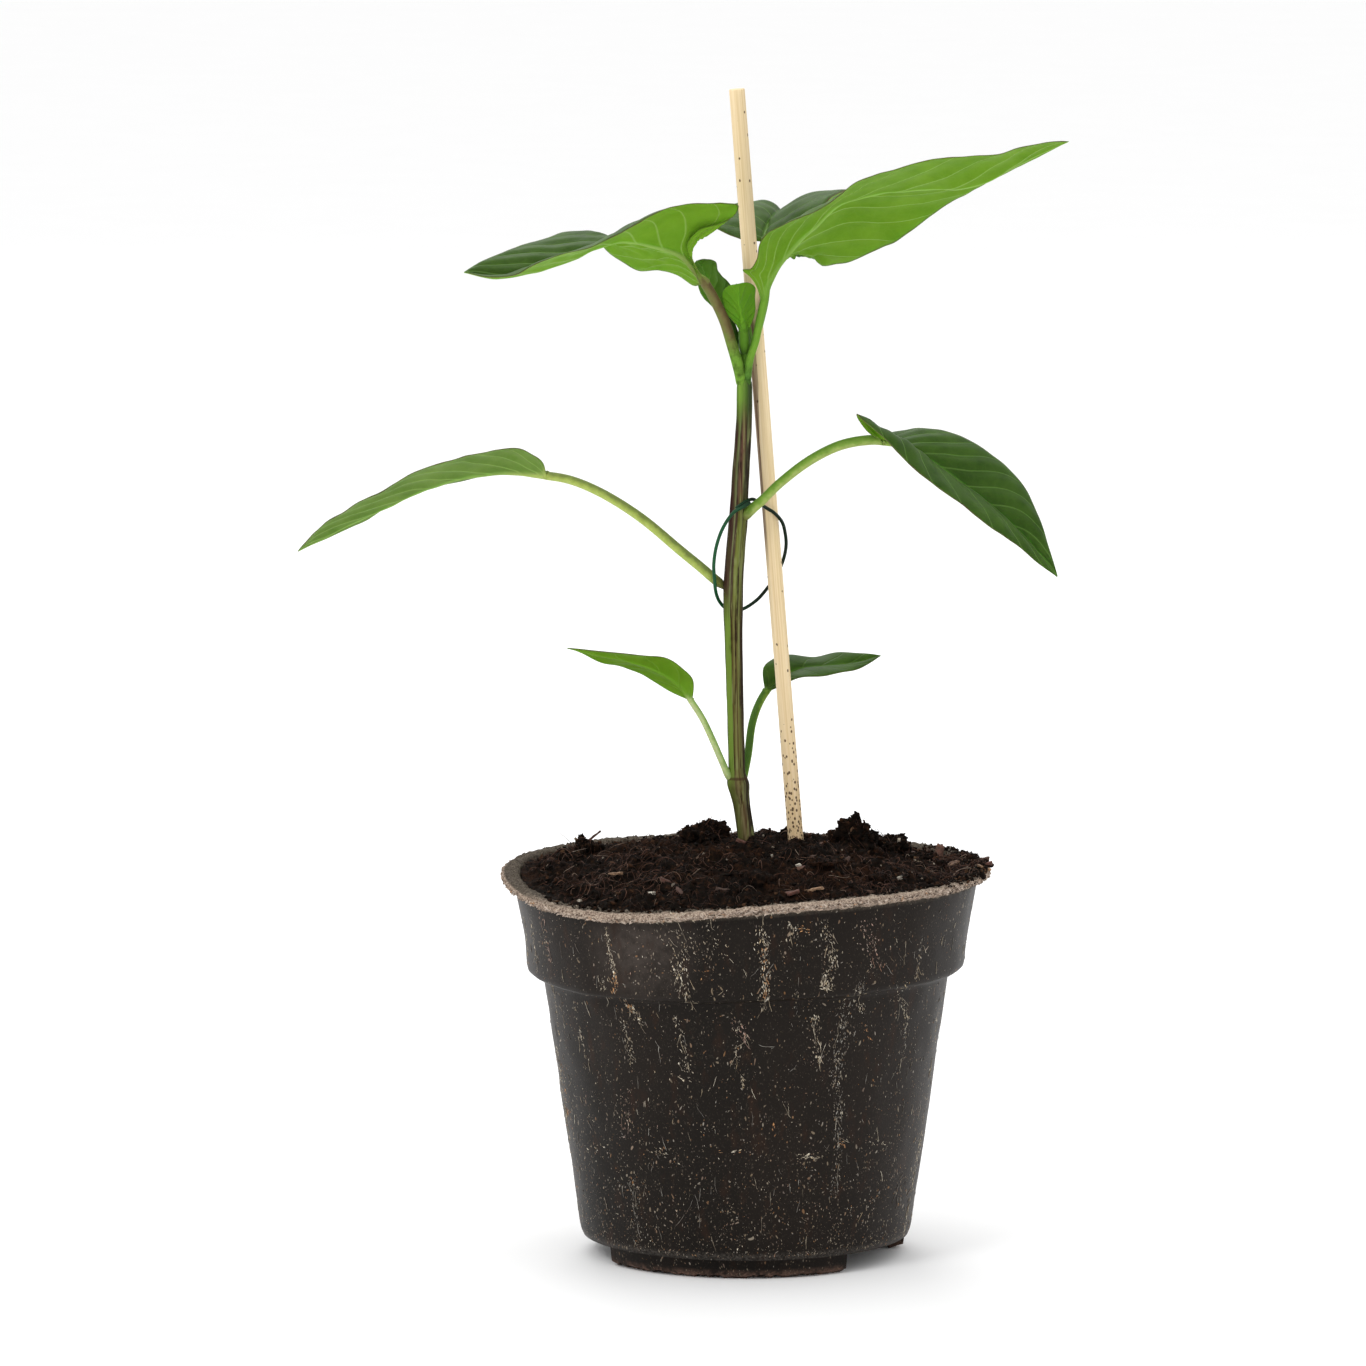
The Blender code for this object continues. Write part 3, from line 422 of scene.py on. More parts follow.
lip_look = ramp(tree, rough, (0.34, (0.02, 0.016, 0.012)), (0.5, (0.075, 0.06, 0.046)), (0.68, (0.17, 0.14, 0.11)))
rim_look = ramp(tree, rough, (0.36, (0.05, 0.033, 0.024)), (0.47, (0.24, 0.175, 0.135)), (0.62, (0.46, 0.38, 0.3)))
look = mixed(tree, sums(tree, "MULTIPLY", lip_part, 0.9), look, lip_look)
look = mixed(tree, rim_part, look, rim_look)
look = mixed(tree, sums(tree, "MULTIPLY", worn_part, ramp(tree, rough, (0.42, 0.0), (0.62, 0.4))), look,
             (0.13, 0.115, 0.10))
sole = node(tree, "MapRange", node(tree, "SeparateXYZ", place).node.outputs["Z"], 0.0026, 0.0004, 0.0, 1.0)
sole = sums(tree, "MULTIPLY", sole, ramp(tree, grain(tree, place, 3, 4, 0.6), (0.42, 0.15), (0.55, 1.0)))
look = mixed(tree, sole, look, ramp(tree, rough, (0.35, (0.045, 0.025, 0.018)), (0.65, (0.22, 0.13, 0.095))))
relief = sums(tree, "MULTIPLY_ADD", grain(tree, place, 0.5, 3), 0.5, sums(tree, "MULTIPLY", small, 0.6))
join(tree, shader, Base_Color=look, Normal=bumps(tree, relief, 0.10),
     Roughness=sums(tree, "MULTIPLY_ADD", lip_part, 0.45, 0.44))
shader.inputs["Specular IOR Level"].default_value = 0.09
finish(pot, fibre, "pot_fibre", "pot")

# Husk
# Slivers of husk and straw lie flat in the skin of the pot. Most are scattered, and thickest near
# its foot. Others lie in streaks, where the pulp ran together in the mould.
HUSK_TINTS = {"pale": (0.0, 0.42), "grey": (0.46, 0.6), "pink": (0.64, 0.76), "orange": (0.82, 1.0)}
SCATTERED = 8200
THREAD_STEPS = 8
LOOSE_THREADS = 420
BACK_STREAKS = 34
STREAK_FILL = 1.25

# Streaks: the angle and height where each begins and ends, its spread, its slivers and their size
STREAKS = [
    (-128.2, 90.4, -127.7, 84.0, 0.5, 34, 1.0, "pale"), (-127.7, 84.0, -125.9, 77.6, 0.6, 40, 1.0, "pale"),
    (-126.4, 79.6, -126.8, 72.0, 1.0, 46, 1.0, "orange"), (-126.6, 71.6, -124.3, 68.4, 0.8, 26, 1.0, "orange"),
    (-124.1, 69.6, -121.2, 65.2, 1.2, 34, 1.1, "pale"), (-129.8, 78.0, -132.6, 70.8, 2.0, 34, 0.9, "pale"),
    (-127.4, 65.6, -125.8, 55.2, 1.2, 52, 0.9, "pale"), (-153.4, 92.0, -152.2, 78.8, 1.2, 44, 0.8, "pink"),
    (-148.1, 68.8, -145.2, 53.6, 0.9, 26, 1.0, "pale"), (-109.9, 94.0, -105.1, 84.4, 4.0, 85, 0.9, "pale"),
    (-108.3, 82.8, -106.0, 72.4, 2.2, 86, 0.9, "pale"), (-105.4, 74.4, -105.4, 72.0, 1.4, 30, 1.2, "pale"),
    (-110.6, 68.0, -108.5, 58.4, 1.3, 40, 0.8, "pale"), (-109.1, 57.2, -108.1, 54.0, 1.8, 24, 0.9, "pale"),
    (-104.2, 80.8, -97.7, 81.2, 0.4, 5, 1.1, "orange"), (-93.1, 68.0, -90.3, 62.8, 1.6, 40, 0.9, "pink"),
    (-93.4, 62.4, -92.6, 56.0, 0.8, 24, 0.8, "pale"), (-100.3, 92.4, -96.1, 84.0, 3.0, 30, 0.8, "pale"),
    (-86.3, 95.6, -85.0, 70.0, 1.3, 165, 1.0, "pale"), (-86.0, 86.8, -84.7, 73.2, 1.0, 40, 1.0, "orange"),
    (-78.2, 92.4, -79.2, 89.2, 1.4, 34, 0.9, "pale"), (-76.7, 91.6, -74.1, 91.2, 1.2, 14, 0.8, "orange"),
    (-69.9, 92.8, -67.4, 82.8, 1.6, 64, 0.9, "pale"), (-67.7, 84.0, -69.8, 75.2, 1.7, 70, 1.0, "pale"),
    (-70.4, 76.4, -67.0, 75.6, 0.8, 20, 1.0, "pale"), (-58.0, 92.0, -54.6, 80.4, 2.2, 76, 0.8, "pink"),
    (-58.4, 77.6, -61.4, 70.0, 1.8, 46, 0.8, "grey"), (-61.3, 69.2, -62.7, 52.4, 2.0, 110, 0.9, "grey"),
    (-62.2, 54.0, -60.1, 34.0, 2.0, 120, 0.9, "grey"), (-60.1, 34.0, -60.1, 20.0, 1.6, 60, 0.8, "grey"),
    (-60.1, 74.8, -55.2, 68.0, 1.0, 30, 0.9, "pale"), (-55.6, 65.6, -52.5, 61.2, 0.8, 9, 1.2, "orange"),
    (-39.0, 86.4, -39.9, 76.8, 0.9, 34, 0.8, "grey"), (-40.0, 77.6, -40.2, 75.6, 0.6, 12, 1.2, "pale"),
    (-44.5, 74.8, -36.4, 64.4, 1.2, 56, 0.9, "pale"), (-36.4, 64.4, -36.8, 53.6, 1.2, 44, 0.8, "grey"),
    (-70.5, 68.4, -68.8, 55.6, 1.2, 78, 0.9, "pale"), (-77.1, 76.0, -75.5, 68.4, 0.7, 16, 0.8, "grey"),
    (-128.6, 48.0, -130.2, 34.8, 2.2, 64, 0.7, "pink"), (-129.3, 24.4, -129.9, 5.6, 2.0, 80, 0.7, "grey"),
    (-110.7, 52.4, -106.4, 51.6, 1.2, 10, 1.1, "pale"), (-91.4, 53.6, -91.1, 49.2, 0.5, 14, 0.9, "pale"),
    (-73.0, 31.6, -65.5, 31.2, 1.6, 30, 0.9, "pale"), (-60.3, 36.0, -57.9, 34.0, 1.4, 14, 1.1, "orange"),
    (-49.2, 33.6, -38.4, 32.8, 0.8, 10, 1.1, "pale"), (-152.7, 30.4, -140.2, 31.6, 1.5, 9, 1.1, "pale"),
    (-120.1, 32.8, -116.6, 31.6, 2.0, 14, 0.8, "pale"), (-98.4, 33.6, -90.2, 33.2, 0.8, 4, 1.5, "orange"),
    (-82.7, 43.6, -81.6, 36.8, 0.6, 4, 1.3, "orange"), (-156.3, 70.4, -158.9, 36.4, 3.0, 50, 0.8, "grey"),
]


def surface_tree(thing):
    """A piece's surface, for finding its nearest point or the height above it."""
    bpy.context.view_layer.update()
    return BVHTree.FromObject(thing, bpy.context.evaluated_depsgraph_get())


def joined_copies(name, shape, placings, tints):
    """Copies of one small shape, each turned, sized and placed, as one piece with a tint a copy."""
    form = spots(shape)
    faces = [tuple(face.vertices) for face in shape.data.polygons]
    bpy.data.objects.remove(shape, do_unlink=True)
    places, sides = [], []
    for number, (centre, turn, size, jitter) in enumerate(placings):
        places.append((form * jitter * size) @ np.array(turn).T + centre)
        sides += [tuple(i + number * len(form) for i in face) for face in faces]
    mesh = bpy.data.meshes.new(name)
    mesh.from_pydata((np.vstack(places) * MM).tolist(), [], sides)
    piece = bpy.data.objects.new(name, mesh)
    bpy.context.scene.collection.objects.link(piece)
    mark(piece, "tint", np.repeat(tints, len(form)))
    return piece


def random_turn(draw):
    """A turn about a random axis by a random angle."""
    axis = Vector(draw.normal(size=3)).normalized()
    return Matrix.Rotation(draw.random() * 2 * math.pi, 3, axis)


def on_wall(skin_tree, angle, height):
    """The nearest place on the pot to a direction and a height, and which way is out."""
    reach = np.interp(height, (5, 73, 75, 97), (FOOT_RADIUS, BODY_TOP_RADIUS, COLLAR_LOW_RADIUS, COLLAR_TOP_RADIUS))
    start = Vector((math.cos(angle), math.sin(angle), 0)) * (reach + 1.5) + Vector((0, 0, height))
    place, normal = skin_tree.find_nearest(start * MM)[:2]
    return np.array(place) / MM, normal


def thread(line, radius):
    """Three-sided rings along a line of points, nearly a point at each end."""
    ahead = np.gradient(line, axis=0)
    ahead /= np.linalg.norm(ahead, axis=1)[:, None]
    side = np.cross(ahead, (0.31, 0.17, 0.93))
    side /= np.linalg.norm(side, axis=1)[:, None]
    up = np.cross(side, ahead)
    rings = []
    for k, centre in enumerate(line):
        taper = 0.2 if k in (0, len(line) - 1) else 1
        for turn in (0, 2 * math.pi / 3, 4 * math.pi / 3):
            rings.append(centre + radius * taper * (math.cos(turn) * side[k] + math.sin(turn) * up[k]))
    return rings


def threads_piece(name, lines, radii, tints):
    """Many threads as one piece."""
    points, faces, count = [], [], len(lines[0])
    for line, radius in zip(lines, radii):
        first = len(points)
        points += thread(line, radius)
        for k in range(count - 1):
            for j in range(3):
                a, b = first + 3 * k + j, first + 3 * k + (j + 1) % 3
                faces.append((a, b, b + 3, a + 3))
        faces += [(first + 2, first + 1, first), tuple(first + 3 * (count - 1) + j for j in range(3))]
    mesh = bpy.data.meshes.new(name)
    mesh.from_pydata((np.array(points) * MM).tolist(), [], faces)
    piece = bpy.data.objects.new(name, mesh)
    bpy.context.scene.collection.objects.link(piece)
    mark(piece, "tint", np.repeat(tints, 3 * count))
    return piece


draw = np.random.default_rng(5)
wall_tree = surface_tree(pot)
streaks = list(STREAKS)
for number in range(BACK_STREAKS):
    angle, top = draw.uniform(-25, 205), draw.uniform(30, 94)
    low = max(6, top - draw.uniform(4, 34))
    word = ("pale", "pale", "pale", "grey", "pink", "orange")[draw.integers(6)]
    count = int((top - low) * draw.uniform(1.2, 4.5))
    streaks.append((angle, top, angle + draw.normal() * 2.5, low, draw.uniform(0.6, 2.2), count, 0.9, word))
flakes = []
for a0, z0, a1, z1, spread, count, size, word in streaks:
    lean = math.atan2(math.radians(a1 - a0) * 50, z0 - z1)
    for number in range(round(count * STREAK_FILL)):
        share = draw.random()
        angle = math.radians(a0 + (a1 - a0) * share) + draw.normal() * spread / 90
        height = z0 + (z1 - z0) * share + draw.normal() * spread * 0.4
        flakes.append((angle, height, lean + draw.normal() * 0.34, size * (0.25 + 0.95 * draw.random() ** 1.3),
                       draw.uniform(*HUSK_TINTS[word if draw.random() < 0.8 else "pale"])))
for number in range(SCATTERED):
    height = 5.5 + 91 * draw.random() ** 1.35
    size = 0.13 + 0.6 * draw.random() ** 3.2
    flakes.append((draw.random() * 2 * math.pi, height, draw.normal() * 0.5, size, draw.random() ** 1.8))
placings, tints = [], []
for angle, height, lean, size, tint in flakes:
    place, out = on_wall(wall_tree, angle, min(max(height, 5.6), 96.3))
    across = Vector((-math.sin(angle), math.cos(angle), 0))
    along = (Vector((0, 0, -1)) * math.cos(lean) + across * math.sin(lean)).normalized()
    side = along.cross(out).normalized()
    along = out.cross(side)
    turn = np.column_stack([side, along, out])
    width = 0.05 + size * draw.uniform(0.12, 0.27)
    jitter = 1 + 0.3 * draw.normal(size=(5, 1))
    placings.append((place, turn, np.array((width, size * 0.9, 0.14)), jitter))
    tints.append(tint)
bpy.ops.object.select_all(action="DESELECT")
bpy.ops.mesh.primitive_cone_add(vertices=4, radius1=MM, radius2=0, depth=MM, end_fill_type="NGON")
husks = joined_copies("husk_flecks", bpy.context.object, placings, tints)
lines, radii, thread_tints = [], [], []
loose = [(a, z, a + draw.normal() * 4, z - 12, 0, 17, 1, "grey") for a, z in
         zip(draw.uniform(-180, 180, LOOSE_THREADS), draw.uniform(18, 95, LOOSE_THREADS))]
for a0, z0, a1, z1, spread, count, size, word in streaks + loose:
    for number in range(round(count / 15)):
        share, length = draw.random(), 1.0 + 4.5 * draw.random() ** 1.8
        angle = math.radians(a0 + (a1 - a0) * share) + draw.normal() * spread / 100
        height = min(max(z0 + (z1 - z0) * share, length + 6.5), 95.5)
        lean = math.atan2(math.radians(a1 - a0) * 50, max(z0 - z1, 1)) + draw.normal() * 0.3
        line = []
        for k in range(THREAD_STEPS):
            place, out = on_wall(wall_tree, angle, min(max(height, 5.6), 96.3))
            line.append(place + 0.05 * np.array(out) + 0.02 * draw.normal(size=3))
            lean += draw.normal() * 0.11
            angle += length / THREAD_STEPS * math.sin(lean) / 52
            height -= length / THREAD_STEPS * math.cos(lean)
        lines.append(np.array(line))
        radii.append(draw.uniform(0.04, 0.085))
        thread_tints.append(draw.uniform(*HUSK_TINTS[word if draw.random() < 0.7 else "pale"]))
husk_threads = threads_piece("husk_threads", lines, radii, thread_tints)
husk_skin, tree, shader, place = surface("husk", 0.6)
tint = node(tree, "Attribute", settings={"attribute_name": "tint"}).node.outputs["Fac"]
tone = ramp(tree, tint, (0.0, (0.62, 0.54, 0.41)), (0.12, (0.3, 0.235, 0.15)), (0.28, (0.72, 0.66, 0.54)),
            (0.42, (0.42, 0.31, 0.17)), (0.5, (0.19, 0.18, 0.16)), (0.6, (0.34, 0.32, 0.28)),
            (0.7, (0.5, 0.33, 0.27)), (0.8, (0.36, 0.15, 0.05)), (1.0, (0.62, 0.33, 0.14)))
tone = mixed(tree, ramp(tree, grain(tree, place, 1.5, 3), (0.4, 0.0), (0.62, 0.8)), tone, (0.07, 0.05, 0.036))
join(tree, shader, Base_Color=tone)
shader.inputs["Specular IOR Level"].default_value = 0.3
finish(husks, husk_skin, "pot_fibre")
finish(husk_threads, husk_skin, "pot_fibre")

# Lip shreds
# The lip's outer edge was torn from the mould and stands rough: lumps of pulp, and fibres between.
SHREDS = 4600
placings = []
for number in range(SHREDS):
    angle = draw.random() * 2 * math.pi
    start = Vector((math.cos(angle), math.sin(angle), 0)) * (LIP_RADIUS + 0.9)
    start = Vector(warp(np.array([(*start[:2], draw.uniform(LIP_LOW - 0.1, LIP_HEIGHT - 0.3))]))[0])
    place, out = wall_tree.find_nearest(start * MM)[:2]
    size = 0.08 + 0.22 * draw.random() ** 2.2
    around = Vector((-math.sin(angle), math.cos(angle), 0.6 * draw.normal())).normalized()
    side = around.cross(out).normalized()
    turn = np.column_stack([around, side, out])
    shape = np.array((size * draw.uniform(1.0, 4.0), size * draw.uniform(0.5, 1.0), size * draw.uniform(0.5, 1.1)))
    placings.append((np.array(place) / MM + 0.1 * size * np.array(out), turn, shape,
                     1 + 0.3 * draw.normal(size=(8, 1))))
bpy.ops.object.select_all(action="DESELECT")
bpy.ops.mesh.primitive_cube_add(size=1.25 * MM)
shreds = joined_copies("lip_shreds", bpy.context.object, placings, draw.random(SHREDS))
pulp, tree, shader, place = surface("torn_pulp", 0.9)
tint = node(tree, "Attribute", settings={"attribute_name": "tint"}).node.outputs["Fac"]
tone = ramp(tree, tint, (0.0, (0.04, 0.028, 0.02)), (0.2, (0.17, 0.125, 0.095)), (0.5, (0.4, 0.32, 0.26)),
            (0.85, (0.56, 0.46, 0.38)), (0.97, (0.36, 0.21, 0.12)))
join(tree, shader, Base_Color=tone, Normal=bumps(tree, grain(tree, place, 0.3, 3, 0.7), 0.12))
shader.inputs["Specular IOR Level"].default_value = 0.2
finish(shreds, pulp, "pot_fibre")

# Soil
# Dark peat and coir, pressed in by hand up to the lip and heaped a little at the stem. Rugged clods,
# crumbs, tangles of loose coir fibre and a few chips of bark lie on it.
SOIL_EDGE = 96.4
SOIL_RISE = 9.0
SOIL_MOUND = 1.3
SOIL_WAVES = [(0.35, 0.31, 0.27, 1.6), (0.35, 0.31, -0.27, 0.8), (0.5, 0.62, -0.44, 0),
              (0.35, 0.7, 0.93, 3.6)]
CLOD_SPREAD = 0.42
CLODS = [((-10.5, 3), 6.0, 5.6), ((27.5, 9), 5.2, 9.0), ((37.5, 8), 6.0, 5.5), ((-42, 12), 4.5, 4.0),
         ((12, 14), 4.0, 2.2), ((-24, -14), 5.0, 1.8), ((20, -24), 5.5, 1.6), ((-4, -30), 4.5, 1.4)]
CLOD_SINK = 0.45
SOIL_GRID = 200
SOIL_CLEARANCE = 0.3
soil_reach = inner_top - SOIL_CLEARANCE


def soil_height(x, y):
    """The surface of the soil: a mound at the stem, low waves, and lumps that stand out of it."""
    share = np.hypot(x, y) / inner_top
    height = SOIL_EDGE + SOIL_RISE * np.clip(1 - share ** 2, 0, 1) ** SOIL_MOUND
    for size, along_x, along_y, phase in SOIL_WAVES:
        height = height + (1 - share ** 6) * size * np.sin(along_x * x + along_y * y + phase)
    for (cx, cy), spread, rise in CLODS:
        height = height + CLOD_SINK * rise * np.exp(-((x - cx) ** 2 + (y - cy) ** 2) / (CLOD_SPREAD * spread ** 2))
    return height


bpy.ops.object.select_all(action="DESELECT")
bpy.ops.mesh.primitive_grid_add(x_subdivisions=SOIL_GRID, y_subdivisions=SOIL_GRID, size=2 * soil_reach * MM)
soil = bpy.context.object
soil.name = soil.data.name = "soil_body"
points = spots(soil)
pick(soil, np.hypot(points[:, 0], points[:, 1]) > soil_reach - 0.1)
bpy.ops.mesh.delete(type="VERT")
bpy.ops.mesh.select_all(action="SELECT")
bpy.ops.mesh.region_to_loop()
bpy.ops.object.mode_set(mode="OBJECT")
points = spots(soil)
rim = np.zeros(len(points), bool)
soil.data.vertices.foreach_get("select", rim)
reach = np.hypot(points[:, 0], points[:, 1])
points[rim, :2] *= soil_reach / reach[rim, None]
reach[rim] = soil_reach
fade = np.clip((soil_reach - reach) / 4, 0.15, 1)
lumps = np.array([noise.fractal(Vector((x / 5.5, y / 5.5, 3.1)), 1.0, 2.0, 3) for x, y, z in points])
cells = np.array([noise.voronoi(Vector((x / 2.4, y / 2.4, 0.4)))[0][0] for x, y, z in points])
grit = np.array([noise.fractal(Vector((x / 1.0, y / 1.0, 7.7)), 1.0, 2.0, 3) for x, y, z in points])
points[:, 2] = soil_height(points[:, 0], points[:, 1])
points[:, 2] += fade * (1.5 * lumps + 1.6 * (0.45 - cells) + 0.75 * grit)
full = 0.5 - 0.5 * np.cos(np.arctan2(points[:, 1], points[:, 0]) - math.radians(-80))
points[:, 2] += full * (1.5 + 1.1 * lumps) * np.clip(1 - (soil_reach - reach) / 12, 0, 1)
sides = 1.6 * np.clip(points[:, 0] / soil_reach, 0, 1) ** 6 + 1.1 * np.clip(-points[:, 0] / soil_reach, 0, 1) ** 6
points[:, 2] += sides * np.clip(1 - (soil_reach - reach) / 12, 0, 1)
move_to(soil, points)
bpy.ops.object.mode_set(mode="EDIT")
wall = POT_WALL + SOIL_CLEARANCE
for radius, height in ((COLLAR_MIDDLE_RADIUS - wall, COLLAR_MIDDLE), (COLLAR_LOW_RADIUS - wall, STEP_HEIGHT + wall),
                       (BODY_TOP_RADIUS - wall, STEP_HEIGHT + edge + SOIL_CLEARANCE),
                       (FOOT_RADIUS - wall, floor_top + edge + SOIL_CLEARANCE),
                       (FOOT_RADIUS - wall - edge, floor_top + SOIL_CLEARANCE)):
    bpy.ops.mesh.extrude_region_move()
    bpy.ops.object.mode_set(mode="OBJECT")
    points = spots(soil)
    ring = np.zeros(len(points), bool)
    soil.data.vertices.foreach_get("select", ring)
    points[ring, :2] *= radius / np.hypot(points[ring, 0], points[ring, 1])[:, None]
    points[ring, 2] = height
    move_to(soil, points)
    bpy.ops.object.mode_set(mode="EDIT")
bpy.ops.mesh.edge_face_add()
bpy.ops.mesh.select_all(action="SELECT")
bpy.ops.mesh.normals_make_consistent(inside=False)
bpy.ops.object.mode_set(mode="OBJECT")
move_to(soil, warp(spots(soil)))

peat, tree, shader, place = surface("peat", 0.95)
tone = ramp(tree, grain(tree, place, 1.6, 5, 0.68), (0.36, (0.0025, 0.0016, 0.001)), (0.52, (0.007, 0.004, 0.0025)),
            (0.62, (0.022, 0.010, 0.0055)), (0.76, (0.07, 0.035, 0.018)))
coir_patch = ramp(tree, grain(tree, place, 16, 2), (0.52, 0.0), (0.66, 0.75))
tone = mixed(tree, coir_patch, tone, ramp(tree, grain(tree, place, 1.1, 5, 0.7), (0.38, (0.004, 0.002, 0.0012)),
                                          (0.54, (0.024, 0.009, 0.004)), (0.7, (0.085, 0.036, 0.015))))
join(tree, shader, Base_Color=tone, Normal=bumps(tree, grain(tree, place, 0.4, 4, 0.7), 0.5))
shader.inputs["Specular IOR Level"].default_value = 0.08
finish(soil, peat, "soil", "potting_soil")
ground = surface_tree(soil)


def ground_at(x, y):
    """The height of the soil's surface, in millimetres."""
    return ground.ray_cast(Vector((x, y, 200)) * MM, Vector((0, 0, -1)))[0].z / MM


# Clods
# Rugged lumps that held together when the soil was filled in, and lie half sunk in it.
draw = np.random.default_rng(23)
clods = [((cx, cy, ground_at(cx, cy) + rise * 0.1), (spread * 0.7, spread * 0.62, rise * 0.42), 4)
         for (cx, cy), spread, rise in CLODS]
clods += [((-8, 6, ground_at(-8, 6) + 0.8), (4.2, 3.6, 2.6), 4), ((24.5, 11, ground_at(24.5, 11) + 1.5), (3.4, 3, 2.4), 3),
          ((-40, 14, ground_at(-40, 14) + 0.6), (3.2, 3, 2.2), 3), ((-44, 9, ground_at(-44, 9)), (3.6, 3, 1.8), 3),
          ((-13.5, 5, ground_at(-13.5, 5) + 0.6), (3, 3, 2), 3),
          ((31, 12, ground_at(31, 12) + 0.8), (4.5, 3.6, 2.4), 4), ((3.3, -37, ground_at(3.3, -37) + 0.4), (3, 3, 2.6), 3),
          ((43, 10, ground_at(43, 10) + 0.2), (4.5, 3.5, 2.2), 4)]
for number in range(46):
    reach, angle = soil_reach * math.sqrt(draw.random()) * 0.92, draw.random() * 2 * math.pi
    x, y = reach * math.cos(angle), reach * math.sin(angle)
    if math.hypot(x - 1, y) < 5 or math.hypot(x - 13.4, y - 8) < 5:
        continue
    size = draw.uniform(1.0, 2.6)
    clods.append(((x, y, ground_at(x, y)), size * draw.uniform(0.7, 1.1, 3) * (1, 1, 0.8), 2))
clods += [((-41.5, 13.5, ground_at(-41.5, 13.5) + 2.6), (1.9, 1.6, 2.0), 3), ((24.8, 10, ground_at(24.8, 10) + 1.6), (2, 2, 1.6), 3)]
for number in range(16):
    # soil that spilled over the lip at the right
    angle, reach = draw.uniform(-0.4, 0.4), draw.uniform(57, 61.6)
    size = draw.uniform(0.6, 1.3)
    clods.append(((reach * math.cos(angle), reach * math.sin(angle), 99), size * draw.uniform(0.7, 1.2, 3) * (1, 1, 0.8), 2))
made = []
for number, (centre, size, finer) in enumerate(clods):
    bpy.ops.object.select_all(action="DESELECT")
    bpy.ops.mesh.primitive_ico_sphere_add(subdivisions=finer + 1, radius=MM)
    clod = bpy.context.object
    form = spots(clod)
    grow = []
    for x, y, z in form * size:
        spot = Vector((x + 31.7 * number, y, z))
        grow.append(1 + 0.55 * noise.fractal(spot / 3.2, 1.0, 2.0, 2) + 0.42 * (0.42 - noise.voronoi(spot / 1.5)[0][0])
                    + 0.2 * noise.fractal(spot / 0.7, 1.0, 2.0, 2))
    move_to(clod, form * size * np.array(grow)[:, None] + centre)
    made.append(clod)
bpy.ops.object.select_all(action="DESELECT")
for clod in made:
    clod.select_set(True)
bpy.context.view_layer.objects.active = made[0]
bpy.ops.object.join()
clods = bpy.context.object
clods.name = clods.data.name = "soil_clods"
finish(clods, peat, "soil")
both = surface_tree(clods)


def top_at(x, y):
    """The height of the soil, of a clod on it or of the lip. In the gap between them it is the soil's edge."""
    hits = [thing.ray_cast(Vector((x, y, 200)) * MM, Vector((0, 0, -1)))[0] for thing in (ground, both, wall_tree)]
    heights = [hit.z / MM for hit in hits if hit and hit.z / MM > COLLAR_MIDDLE]
    return max(heights) if heights else top_at(0.995 * x, 0.995 * y)


# Crumbs
# Loose crumbs of peat with a few grains of pale grit among them.
CRUMBS = 8900
ON_LIP = 2700
draw = np.random.default_rng(11)
bpy.ops.object.select_all(action="DESELECT")
bpy.ops.mesh.primitive_cube_add(size=1.25 * MM)
grain_shape = bpy.context.object
placings = []
for number in range(CRUMBS):
    if number < 900:
        (cx, cy), spread, rise = CLODS[number % 5]
        x, y = cx + draw.normal() * spread * 0.45, cy + draw.normal() * spread * 0.45
    elif number < 900 + ON_LIP:
        low, high = ((-36, 36), (-36, 36), (-36, 36), (40, 150), (-150, -30), (-150, -30), (-150, -30))[draw.integers(7)]
        reach, angle = 55 + 5.3 * draw.random() ** (1.0 if high == 36 else 3.5), math.radians(draw.uniform(low, high))
        if high == -30:
            reach = draw.uniform(55.3, 58.2)
        wider = reach * (1 + LIP_OVAL * math.cos(2 * angle) / LIP_RADIUS)
        x, y = wider * math.cos(angle), wider * math.sin(angle)
    else:
        reach, angle = soil_reach * math.sqrt(draw.random()) * 0.985, draw.random() * 2 * math.pi
        x, y = reach * math.cos(angle), reach * math.sin(angle)
    size = 0.15 + 0.62 * draw.random() ** 4
    flat = np.array((1, draw.uniform(0.6, 1), draw.uniform(0.5, 0.95))) * size
    jitter = 1 + 0.3 * draw.normal(size=(8, 1))
    placings.append((np.array((x, y, top_at(x, y) + size * 0.35)), random_turn(draw), flat, jitter))
crumbs = joined_copies("soil_crumbs", grain_shape, placings, draw.random(CRUMBS))
crumb_earth, tree, shader, place = surface("crumb_earth", 0.95)
tint = node(tree, "Attribute", settings={"attribute_name": "tint"}).node.outputs["Fac"]
tone = ramp(tree, tint, (0.0, (0.003, 0.002, 0.0013)), (0.5, (0.007, 0.004, 0.0025)), (0.75, (0.022, 0.010, 0.0055)),
            (0.9, (0.06, 0.027, 0.014)), (0.98, (0.12, 0.065, 0.036)), (0.994, (0.42, 0.36, 0.29)))
tone = mixed(tree, ramp(tree, grain(tree, place, 0.6, 4, 0.7), (0.35, 0.7), (0.65, 0.0)), tone, (0.004, 0.0025, 0.0015))
join(tree, shader, Base_Color=tone, Normal=bumps(tree, grain(tree, place, 0.4, 4, 0.7), 0.25))
shader.inputs["Specular IOR Level"].default_value = 0.08
finish(crumbs, crumb_earth, "soil")

# Coir
# Fine curled fibres, reddish to straw, some of them tangled in loose patches.
FIBRES = 2300
TANGLES = [(-29, -12, 9), (-23, -30, 9), (-50, 10, 5), (41, 26, 6), (30, -34, 9), (45, -8, 8), (-38, -24, 8),
           (4, 40, 10), (-20, 36, 9), (57, 0, 4), (54, 14, 4), (54, -14, 4)]
FIBRE_STEPS = 8

